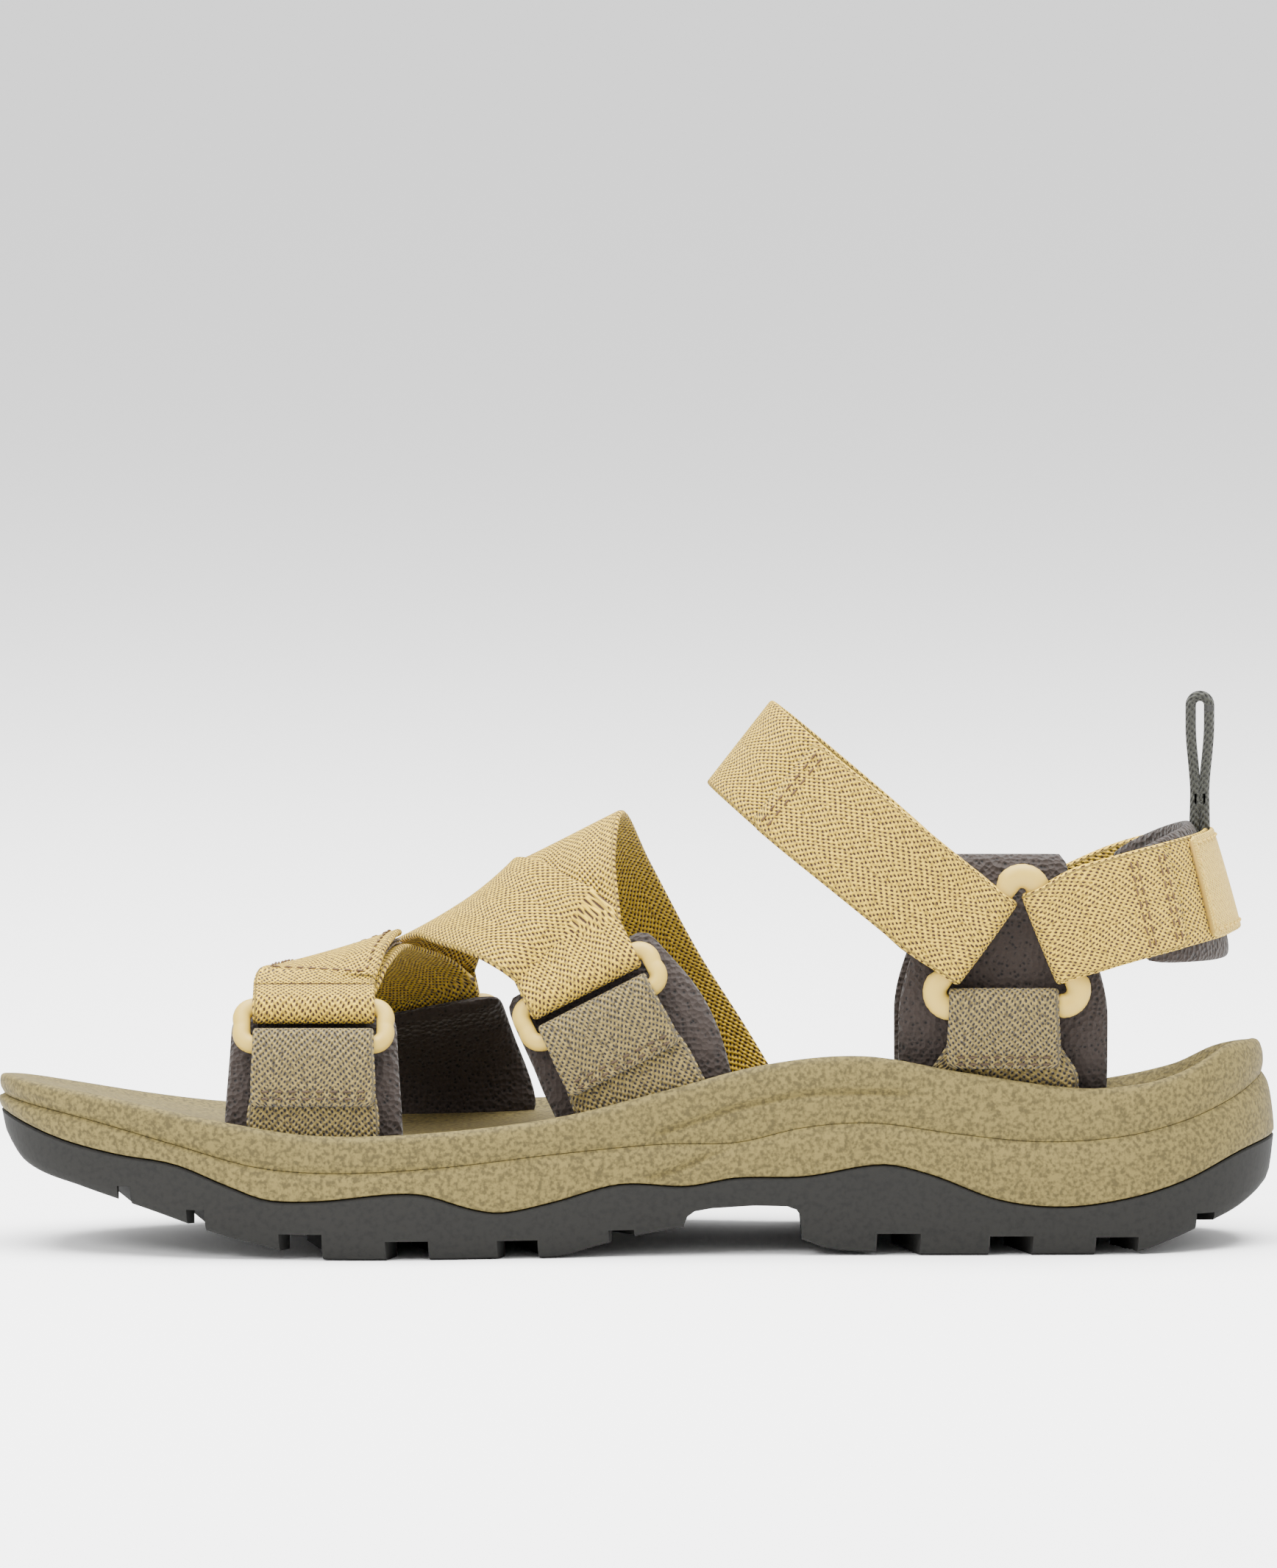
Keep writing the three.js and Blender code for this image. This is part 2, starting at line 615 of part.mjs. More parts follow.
const CORNER_SIGNS = [[-1, -1], [1, -1], [1, 1], [-1, 1]];
const FRONT_PATH = roundedPath(
  CORNER_SIGNS.map(([a, b]) => [(a * FRONT_RING.width) / 2, (b * FRONT_RING.height) / 2]),
  FRONT_RING.corner,
);
const ANKLE_PATH = roundedPath([ANKLE_RING.front, ANKLE_RING.rear, ANKLE_RING.top], ANKLE_RING.corner);
const LOWER = [0, -FRONT_RING.height / 2];
const UPPER = [0, FRONT_RING.height / 2];
const midpoint = (p, q) => [(p[0] + q[0]) / 2, (p[1] + q[1]) / 2];
const ANKLE_LOWER = midpoint(ANKLE_RING.front, ANKLE_RING.rear);
const ANKLE_FRONT = midpoint(ANKLE_RING.front, ANKLE_RING.top);
const ANKLE_REAR = midpoint(ANKLE_RING.rear, ANKLE_RING.top);

const medialFront = ringFrame(vec(-66.6, -34.2, 47.2), 0, 30, -1);
const medialMid = ringFrame(vec(-10, -29.8, 52.9), 27, 20, -1);
const lateralFront = ringFrame(vec(-44.5, 38.6, 40), 11, 25, 1);
const medialAnkle = ringFrame(vec(76, -32.5, 60.6), 0, 0, -1);
const lateralAnkle = ringFrame(vec(76, 32.5, 56), 0, 0, 1);

const MOORINGS = [
  {
    name: 'medial_front', ring: medialFront, path: FRONT_PATH, bar: LOWER, bend: 0.0144,
    reach: 26, tab: [WEBBING_WIDTH, WEBBING_WIDTH],
    pad: { top: 9.5, from: 5, rate: 0.09, waist: 0, widths: [37, 34] },
  },
  {
    name: 'medial_mid', ring: medialMid, path: FRONT_PATH, bar: LOWER, bend: 0.0083,
    reach: 29, tab: [WEBBING_WIDTH, WEBBING_WIDTH],
    pad: { top: 13, from: 8, rate: 0.009, waist: 0, widths: [36, 34] },
  },
  {
    name: 'lateral_front', ring: lateralFront, path: FRONT_PATH, bar: LOWER, bend: 0.017,
    reach: 18, tab: [WEBBING_WIDTH, WEBBING_WIDTH],
    pad: { top: 14, from: 5, rate: 0.045, waist: 0, widths: [40, 34] },
  },
  {
    name: 'medial_ankle', ring: medialAnkle, path: ANKLE_PATH, bar: ANKLE_LOWER, bend: 0.0065,
    reach: 26, tab: [19, 30], pad: { top: 30, from: 8, rate: 0.009, waist: 0.4, widths: [43, 27] },
  },
  {
    name: 'lateral_ankle', ring: lateralAnkle, path: ANKLE_PATH, bar: ANKLE_LOWER, bend: 0.0065,
    reach: 23, tab: [19, 30], pad: { top: 30, from: 8, rate: 0.009, waist: 0.4, widths: [43, 27] },
  },
].map((mooring) => ({ ...mooring, foot: barFrame(mooring.ring, mooring.bar, -90, mooring.bend) }));

for (const { name, ring, path, foot, reach, tab, pad } of MOORINGS) {
  add(`${name}_ring`, ringGeometry(ring, path), 'ring');
  add(`${name}_tab`, tabGeometry(foot, reach, tab), 'tab');
  add(`${name}_pad`, ribbon(padStations(foot, reach, pad), PAD_THICK), 'lining');
}

// ---------------------------------------------------------------- instep strap and toe strap

const midBar = barFrame(medialMid, UPPER, 90);
const sideBar = barFrame(lateralFront, UPPER, 90);
const SIDE_LEAN = 28;
const sideToe = lean(sideBar, SIDE_LEAN);
const toeBar = lean(barFrame(medialFront, UPPER, 90), 34);
const OUT = [3, 6, 9];
const IN = [9, 6, 3];
const FOLD = [1.7, 3.4, 5];
const PEEL = [7.2, 5.35];

const ANCHOR = [
  [19.5, 38.3, 21.5, 31], [12, 39.2, 34, 31], [2, 36.5, 50, 30.5], [-8.5, 24, 70.5, 29],
  [-14.2, 0, 83, 27], [-16.4, -15, 76.4, 27],
];
const BACK_OVER = [
  [-20.6, -24.6, 67, 42, 14], [-27, -18.6, 70, 52, 20], [-32.6, -9, 70.8, 46, 12],
  [-36.2, 2, 69.4, 34], [-42.5, 23, 61.5, 24],
];
const midIn = leg(midBar, -1, IN, DOUBLED);
const midOut = leg(midBar, 1, OUT, DOUBLED);
const sideOut = leg(sideBar, 1, IN, DOUBLED);
add('instep_strap', ribbon([
  ...route(ANCHOR, { to: midIn[0] }), ...midIn, ...bend(midBar), ...midOut,
  ...route(BACK_OVER, { from: midOut[2], to: sideOut[0] }), ...sideOut,
  ...bend(sideBar).reverse().slice(0, 4),
]), 'webbing');

const anchorSlot = ribbon(
  route([[20, 38.1, 20.8, 31], [12, 39.2, 34, 31], [5, 37.6, 44, 31]], { width: WEBBING_WIDTH + 2 * GAP }),
  WEBBING_THICK + 2 * GAP,
);

const TOE_CORE = vec(-58, 0, 0);
const TOE_OVER = [[-51.5, 20, 52.6, 16], [-59.6, 0, 56.8, 18], [-63.4, -14, 56, 12]];
const toeFrom = leg(sideToe, -1, OUT, DOUBLED);
const toeTo = leg(toeBar, -1, IN, CLOSURE / 2);
const toeRun = route(TOE_OVER, { from: toeFrom[2], to: toeTo[0], perSpan: 4 });
add('toe_strap', ribbon([
  ...bend(sideBar, WEBBING_WIDTH, SIDE_LEAN - 90, 90).slice(0, 3).reverse(), ...toeFrom, ...toeRun, ...toeTo,
  ...bend(toeBar), ...leg(toeBar, 1, FOLD, CLOSURE / 2),
]), 'webbing');

const toeUnder = [...toeRun.filter(({ p }) => p.y < 4), toeTo[0]];
const toeLayer = (distance, width) => lift(toeUnder, TOE_CORE, distance, width).slice(0, -1);
add('toe_flap', ribbon([...toeLayer(CLOSURE), ...leg(toeBar, 1, PEEL, CLOSURE / 2)]), 'webbing');
add('toe_hook_patch', ribbon(toeLayer(2.05, TAPE_WIDTH), TAPE_THICK), 'tape');
add('toe_loop_patch', ribbon(toeLayer(1.25, TAPE_WIDTH), TAPE_THICK), 'tape');

// ---------------------------------------------------------------- slings: ankle strap and heel strap

/** Strap from a medial ring bar round to a lateral one, its medial end doubled back and stitched. */
function sling({ medial, lateral, points, core, doubled, atBar }) {
  const width = RING_WEBBING_WIDTH;
  const medialIn = leg(medial, -1, OUT, DOUBLED, width, atBar);
  const lateralIn = leg(lateral, -1, IN, CLOSURE / 2, width, atBar);
  const run = route(points, { from: medialIn[2], to: lateralIn[0], width });
  const back = lift([medialIn[2], ...run.slice(0, doubled + 1)], core, 2 * DOUBLED).slice(1, -1).reverse();
  const strap = [
    ...back, ...leg(medial, 1, IN, DOUBLED, width, atBar), ...bend(medial, atBar).reverse(), ...medialIn,
    ...run, ...lateralIn, ...bend(lateral, atBar), ...leg(lateral, 1, FOLD, CLOSURE / 2, width, atBar),
  ];
  return { strap, end: [...run, lateralIn[0]] };
}

/** Loose end lying over the lateral end of a sling, with hook tape under it on the sling's loop tape. */
function addClosure(name, { end, lateral, core, length, atBar }) {
  const under = end.slice(-length - 1);
  const layer = (distance, width) => lift(under, core, distance, width).slice(0, -1);
  const start = leg(lateral, 1, PEEL, CLOSURE / 2, RING_WEBBING_WIDTH, atBar);
  add(`${name}_flap`, ribbon([...layer(CLOSURE), ...start]), 'webbing');
  add(`${name}_hook_patch`, ribbon(layer(2.05, TAPE_WIDTH - 3).slice(0, -1), TAPE_THICK), 'tape');
  add(`${name}_loop_patch`, ribbon(layer(1.25, TAPE_WIDTH - 3).slice(0, -1), TAPE_THICK), 'tape');
}

const ANKLE_CORE = vec(69, 0, 62);
const ankleLateral = barFrame(lateralAnkle, ANKLE_FRONT, 144);
const ankle = sling({
  medial: barFrame(medialAnkle, ANKLE_FRONT, 144),
  lateral: ankleLateral,
  points: [
    [48.5, -30.8, 81.7, 52], [34.5, -23.5, 92.6, 52], [24.6, -12, 100.6, 52], [21.3, 0, 103, 52],
    [24.4, 12, 100, 52], [34, 23.5, 91.4, 52], [48, 30.8, 79, 53],
  ],
  core: ANKLE_CORE,
  doubled: 7,
  atBar: 19,
});
add('ankle_strap', ribbon(ankle.strap), 'webbing');
addClosure('ankle', { end: ankle.end, lateral: ankleLateral, core: ANKLE_CORE, length: 9, atBar: 19 });

const HEEL_CORE = vec(82, 0, 66);
const HEEL_POINTS = [
  [102.5, -27.5, 71.6, 105], [112.6, -19.5, 73.6, 105.5], [118.4, -9.5, 74.5, 106], [120.2, 0, 74.8, 106],
  [118.4, 9.5, 74.3, 106], [112.6, 19.5, 72.6, 106], [102.5, 27.5, 69.4, 107],
];
const heelLateral = barFrame(lateralAnkle, ANKLE_REAR, 24);
const heel = sling({
  medial: barFrame(medialAnkle, ANKLE_REAR, 22),
  lateral: heelLateral,
  points: HEEL_POINTS,
  core: HEEL_CORE,
  doubled: 5,
  atBar: 16,
});
add('heel_strap', ribbon(heel.strap), 'webbing');
addClosure('heel', { end: heel.end, lateral: heelLateral, core: HEEL_CORE, length: 9, atBar: 16 });

const collarRun = route(HEEL_POINTS.map(([x, y, z, tilt]) => [x, y, z - 1.2, tilt]), { perSpan: 2 });
const collarInset = WEBBING_THICK / 2 + GAP + COLLAR_THICK / 2;
const collar = lift(collarRun, HEEL_CORE, -collarInset).map((station, i, all) => (
  { ...station, width: mix(20, 29, Math.sin((Math.PI * i) / (all.length - 1)) ** 0.5) }
));
add('heel_collar', ribbon(collar, COLLAR_THICK), 'lining');

// ---------------------------------------------------------------- pull loop

const LOOP = { x: 116.2, z: 101, halfWidth: 1.9, halfHeight: 11.8, cord: 1.1 };

function pullLoopGeometry() {
  const steps = 5;
  const arc = (from, z) => Array.from({ length: steps + 1 }, (_, i) => {
    const turn = rad(from + (180 * i) / steps);
    return [LOOP.x + LOOP.halfWidth * Math.cos(turn), z + LOOP.halfWidth * Math.sin(turn)];
  });
  const straight = LOOP.halfHeight - LOOP.halfWidth;
  const path = [...arc(0, LOOP.z + straight), ...arc(180, LOOP.z - straight)];
  const count = path.length;
  const rings = path.map(([x, z], i) => {
    const before = path[(i + count - 1) % count];
    const after = path[(i + 1) % count];
    const along = new THREE.Vector2(after[0] - before[0], after[1] - before[1]).normalize();
    return Array.from({ length: 8 }, (_, k) => {
      const turn = (Math.PI * (k + 0.5)) / 4;
      const reach = LOOP.cord * Math.cos(turn);
      return vec(x + along.y * reach, LOOP.cord * Math.sin(turn), z - along.x * reach);
    });
  });
  return skin(rings, { loop: true });
}

add('pull_loop', pullLoopGeometry(), 'cord');

// ---------------------------------------------------------------- sole

const SHANK = { fromX: -2, toX: 72, width: 22, thick: 1.2, bottom: 15.2 };

function shankBox(margin, top) {
  const box = new THREE.BoxGeometry(
    SHANK.toX - SHANK.fromX + 2 * margin, SHANK.width + 2 * margin, top - SHANK.bottom + margin,
  );
  return box.translate((SHANK.fromX + SHANK.toX) / 2, centreLine(35), (top + SHANK.bottom - margin) / 2);
}

const slots = [...MOORINGS.map(({ foot, reach, pad }) => footSlot(foot, reach, pad.widths[0])), anchorSlot];
add('outsole', outsoleGeometry(), 'rubber');
add('midsole', midsoleGeometry([...slots, shankBox(GAP, 24)]), 'foam');
add('footbed', footbedGeometry(slots), 'foam');
add('arch_shank', shankBox(0, SHANK.bottom + SHANK.thick), 'shank');
group.position.y = -CENTRE_Y;

export default group;
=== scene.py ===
"""Strappy sport sandal for a right foot, dressed round its fixed CAD frame.

The toe points to -X, the heel to +X, the medial side to -Y and the ground is Z = 0. Shapes are worked out
in millimetres in the sandal's own plan and turned into metres where a mesh is made.
"""
import logging
import math
from dataclasses import dataclass, field
from enum import Enum
from functools import partial
from typing import Callable, Sequence

import bmesh
import bpy
import numpy as np
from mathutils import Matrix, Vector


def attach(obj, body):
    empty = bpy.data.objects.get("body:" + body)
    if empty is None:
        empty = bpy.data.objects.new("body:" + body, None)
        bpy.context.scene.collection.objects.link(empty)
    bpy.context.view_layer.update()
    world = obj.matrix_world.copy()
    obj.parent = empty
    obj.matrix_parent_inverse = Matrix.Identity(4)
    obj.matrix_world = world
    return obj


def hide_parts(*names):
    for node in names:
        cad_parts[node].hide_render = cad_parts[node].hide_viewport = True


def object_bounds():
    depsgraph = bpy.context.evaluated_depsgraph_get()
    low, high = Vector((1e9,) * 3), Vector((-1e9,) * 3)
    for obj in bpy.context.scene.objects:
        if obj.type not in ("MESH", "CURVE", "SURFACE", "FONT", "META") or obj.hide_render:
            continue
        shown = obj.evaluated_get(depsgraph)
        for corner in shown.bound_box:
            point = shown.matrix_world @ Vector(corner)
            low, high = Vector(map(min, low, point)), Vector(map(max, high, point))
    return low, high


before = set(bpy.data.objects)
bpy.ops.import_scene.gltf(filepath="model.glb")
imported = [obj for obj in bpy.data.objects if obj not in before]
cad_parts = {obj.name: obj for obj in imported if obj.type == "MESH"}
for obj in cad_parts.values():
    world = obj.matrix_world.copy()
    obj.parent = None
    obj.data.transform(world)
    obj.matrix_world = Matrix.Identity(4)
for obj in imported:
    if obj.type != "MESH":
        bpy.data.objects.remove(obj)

CAD_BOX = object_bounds()
LOG = logging.getLogger("sandal")
Array = np.ndarray
HeightFunction = Callable[[Array], Array]

# Sizes in millimetres, and the length of one in metres.
MM = 0.001
GAP = 0.3
WEBBING_WIDTH = 25.0
WEBBING_THICK = 1.4
SLING_WIDTH = 22.0
TAPE_WIDTH = 22.0
TAPE_THICK = 0.5
BAR_RADIUS = 1.5
PAD_THICK = 4.0
COLLAR_THICK = 3.4
PLAN_CENTRE_Y = 1.6
FOAM_CHAMFER = 0.05

# Distances off a middle surface: webbing round a bar, one of two layers, a flap, a pad, the two patches.
WRAP = BAR_RADIUS + GAP + WEBBING_THICK / 2
DOUBLED = (WEBBING_THICK + GAP) / 2
CLOSURE = WEBBING_THICK + 2 * TAPE_THICK + 3 * GAP
PAD_CENTRE = WRAP + WEBBING_THICK / 2 + 0.5 + PAD_THICK / 2
LOOP_LIFT = 1.25
HOOK_LIFT = 2.05

# Distance from a bar at which webbing has settled flat, and stations for each span of a strap's run.
SEAT = 9.0
PER_SPAN = 9

# Distances from a bar of the stations out from it, in to it, at a fold and where a flap sets off.
OUT = (1.5, 3, 4.5, 6, 7.5, 9)
IN = OUT[::-1]
FOLD = (1.25, 2.5, 3.75, 5)
PEEL = (7.6, 6.5, 5.35)

# Gloss of every finish, and the weave's pitch along the webbing for each unit across it.
SPECULAR = 0.3
GAP_STRETCH = 0.68

# Studio, in metres, watts and degrees.
FLOOR_SIZE = 80.0
FLOOR_DROP = 0.0001
SURROUND_STRENGTH = 1.5
LAMPS = (("top", (0.0, -0.1, 1.6), 1.8, 150.0), ("key", (-1.1, -1.5, 1.3), 0.7, 30.0))
LAMP_AIM = (0, 0, 0.05)
CAMERA_ELEVATION = 4
CAMERA_DISTANCE = 3.0
CAMERA_TARGET = (0, -0.0016, 0.0945)


class Body(Enum):
    """Bodies of the frame that pieces ride on."""

    SANDAL = "sandal"
    TOE = "toe_closure"
    ANKLE = "ankle_closure"
    HEEL = "heel_closure"
    PULL = "heel_pull"


# ------------------------------------------------------------------ arithmetic


def vec(*xyz: float) -> Array:
    """Return a point or direction as an array."""
    return np.array(xyz, float)


def unit(v: Array) -> Array:
    """Return vectors scaled to length one."""
    return v / np.maximum(np.linalg.norm(v, axis=-1, keepdims=True), 1e-12)


def smooth(t: float | Array) -> float | Array:
    """Return the smooth step of t, 0 below 0 and 1 above 1."""
    t = np.clip(t, 0, 1)
    return t * t * (3 - 2 * t)


def mix(a: float | Array, b: float | Array, t: float | Array) -> float | Array:
    """Return the value a share t of the way from a to b."""
    return a + (b - a) * t


class Curve:
    """Height along the sole: a cubic Hermite spline through (x, value) knots, flat beyond them."""

    def __init__(self, *knots: tuple[float, float]) -> None:
        """Store the knots and work out the slope at each.

        Args:
            knots: (x, value) pairs in order of x, in millimetres.
        """
        self.x, self.y = np.array(knots, float).T
        lower = np.maximum(np.arange(len(knots)) - 1, 0)
        upper = np.minimum(np.arange(len(knots)) + 1, len(knots) - 1)
        self.slope = (self.y[upper] - self.y[lower]) / (self.x[upper] - self.x[lower])

    def __call__(self, x: Array) -> Array:
        """Return the spline's values at x."""
        x = np.clip(x, self.x[0], self.x[-1])
        i = np.clip(np.searchsorted(self.x, x, side="right") - 1, 0, len(self.x) - 2)
        span = self.x[i + 1] - self.x[i]
        t = (x - self.x[i]) / span
        r = 1 - t
        return (
            self.y[i] * r * r * (1 + 2 * t) + self.y[i + 1] * t * t * (3 - 2 * t)
            + self.slope[i] * span * t * r * r - self.slope[i + 1] * span * t * t * r
        )


def catmull(points: Array, steps: int) -> Array:
    """Return points along a Catmull-Rom spline, `steps` for each span of the given points.

    Args:
        points: Array of knots, one row each.
        steps: Samples for each span.

    Returns:
        The sampled rows, the first and last knots included.
    """
    padded = np.vstack([2 * points[0] - points[1], points, 2 * points[-1] - points[-2]])
    t = np.arange(steps)[:, None] / steps
    rows = [
        0.5 * (2 * b + (c - a) * t + (2 * a - 5 * b + 4 * c - d) * t**2 + (3 * b - a - 3 * c + d) * t**3)
        for a, b, c, d in zip(padded, padded[1:], padded[2:], padded[3:])
    ]
    return np.vstack([*rows, points[-1:]])


# ------------------------------------------------------------------ meshes


def new_object(name: str, vertices: Array, faces: Sequence, uvs: Array | None = None) -> bpy.types.Object:
    """Make a smooth-shaded mesh object from millimetre points.

    Args:
        name: The piece's name.
        vertices: Points in millimetres in the sandal's plan.
        faces: Vertex indices of each face.
        uvs: One (u, v) row for each face corner, in metres.

    Returns:
        The new object, at the origin.
    """
    placed = (vertices - [0, PLAN_CENTRE_Y, 0]) * MM
    mesh = bpy.data.meshes.new(name)
    mesh.from_pydata(placed.tolist(), [], [list(face) for face in faces])
    if uvs is not None:
        layer = mesh.uv_layers.new(name="run")
        layer.data.foreach_set("uv", uvs.astype(np.float32).ravel())
    mesh.shade_smooth()
    mesh.update()
    obj = bpy.data.objects.new(name, mesh)
    bpy.context.scene.collection.objects.link(obj)
    return obj


def signed_volume(vertices: Array, faces: Array) -> float:
    """Return six times the volume inside quads; it is negative where they face inwards."""
    a, b, c, d = (vertices[faces[:, i]] for i in range(4))
    return float((np.cross(a, b) * c).sum() + (np.cross(a, c) * d).sum())


def skin(name: str, rings: Array, loop: bool = False, caps: bool = False,
         runs: Array | None = None, girth: Array | None = None) -> bpy.types.Object:
    """Skin closed rings of points, as a tube, a loop or a capped bar.

    Args:
        name: The piece's name.
        rings: Array of shape (rings, points, 3), in millimetres.
        loop: Whether the last ring joins the first.
        caps: Whether the end rings are closed with a face each.
        runs: Distance along the piece at each ring, in millimetres, for the UV map.
        girth: Distance round the section at each point, in millimetres, for the UV map.

    Returns:
        The new object, its faces pointing outwards.
    """
    count, around = rings.shape[:2]
    vertices = rings.reshape(-1, 3)
    i, j = np.meshgrid(np.arange(count if loop else count - 1), np.arange(around), indexing="ij")
    k, nxt = (j + 1) % around, (i + 1) % count
    quads = np.stack([i * around + j, i * around + k, nxt * around + k, nxt * around + j], -1).reshape(-1, 4)
    uvs = None
    if runs is not None and girth is not None:
        edge = np.append(girth, girth[0] + 2 * (girth[-1] - girth[-2]))
        u = np.stack([runs[i], runs[i], runs[nxt], runs[nxt]], -1).reshape(-1, 4)
        v = np.stack([edge[j], edge[j + 1], edge[j + 1], edge[j]], -1).reshape(-1, 4)
        uvs = np.stack([u, v], -1)
    if signed_volume(vertices, quads) < 0:
        quads = quads[:, ::-1]
        uvs = None if uvs is None else uvs[:, ::-1]
        first, last = list(range(around)), [(count - 1) * around + n for n in range(around)][::-1]
    else:
        first, last = list(range(around))[::-1], [(count - 1) * around + n for n in range(around)]
    faces = quads.tolist()
    rows = None if uvs is None else uvs.reshape(-1, 2) * MM
    if caps:
        faces += [first, last]
        if rows is not None:
            rows = np.vstack([rows, np.zeros((2 * around, 2))])
    return new_object(name, vertices, faces, rows)


def weld(obj: bpy.types.Object, distance: float = 1e-5) -> None:
    """Merge the object's doubled vertices and drop faces that collapse."""
    work = bmesh.new()
    work.from_mesh(obj.data)
    bmesh.ops.remove_doubles(work, verts=work.verts, dist=distance)
    bmesh.ops.dissolve_degenerate(work, edges=work.edges, dist=distance)
    bmesh.ops.recalc_face_normals(work, faces=work.faces)
    work.to_mesh(obj.data)
    work.free()
    obj.data.shade_smooth()


def cut(obj: bpy.types.Object, cutters: Sequence[bpy.types.Object]) -> None:
    """Take the cutters out of a piece and keep the result in its mesh."""
    for cutter in cutters:
        modifier = obj.modifiers.new("cut", "BOOLEAN")
        modifier.operation = "DIFFERENCE"
        modifier.solver = "EXACT"
        modifier.object = cutter
        shown = bpy.context.evaluated_depsgraph_get()
        result = bpy.data.meshes.new_from_object(obj.evaluated_get(shown))
        obj.modifiers.clear()
        obj.data = result
    for cutter in cutters:
        bpy.data.objects.remove(cutter)


# ------------------------------------------------------------------ finishes


def _group(name: str, inputs: dict[str, float], outputs: Sequence[str]) -> tuple:
    """Make an empty shader node group with float sockets.

    Args:
        name: The group's name.
        inputs: Default value of each input socket.
        outputs: Names of the output sockets.

    Returns:
        The group, its input node and its output node.
    """
    tree = bpy.data.node_groups.new(name, "ShaderNodeTree")
    tree.interface.new_socket("Vector", in_out="INPUT", socket_type="NodeSocketVector")
    for label, value in inputs.items():
        tree.interface.new_socket(label, in_out="INPUT", socket_type="NodeSocketFloat").default_value = value
    for label in outputs:
        tree.interface.new_socket(label, in_out="OUTPUT", socket_type="NodeSocketFloat")
    return tree, tree.nodes.new("NodeGroupInput"), tree.nodes.new("NodeGroupOutput")


def _math(tree: bpy.types.NodeTree, operation: str, *values: object) -> object:
    """Add a Math node fed with sockets or numbers and return its output socket."""
    node = tree.nodes.new("ShaderNodeMath")
    node.operation = operation
    for socket, value in zip(node.inputs, values):
        if isinstance(value, (int, float)):
            socket.default_value = value
        else:
            tree.links.new(value, socket)
    return node.outputs[0]


def _noise(tree: bpy.types.NodeTree, place: object, scale: float, detail: float) -> object:
    """Add a noise texture read at a place and return its value's socket."""
    node = tree.nodes.new("ShaderNodeTexNoise")
    node.inputs["Scale"].default_value = scale
    node.inputs["Detail"].default_value = detail
    tree.links.new(place, node.inputs["Vector"])
    return node.outputs["Fac"]


def _clamp(tree: bpy.types.NodeTree, value: object) -> object:
    """Add a Clamp node from 0 to 1 fed with a socket and return its output socket."""
    node = tree.nodes.new("ShaderNodeClamp")
    tree.links.new(value, node.inputs[0])
    return node.outputs[0]


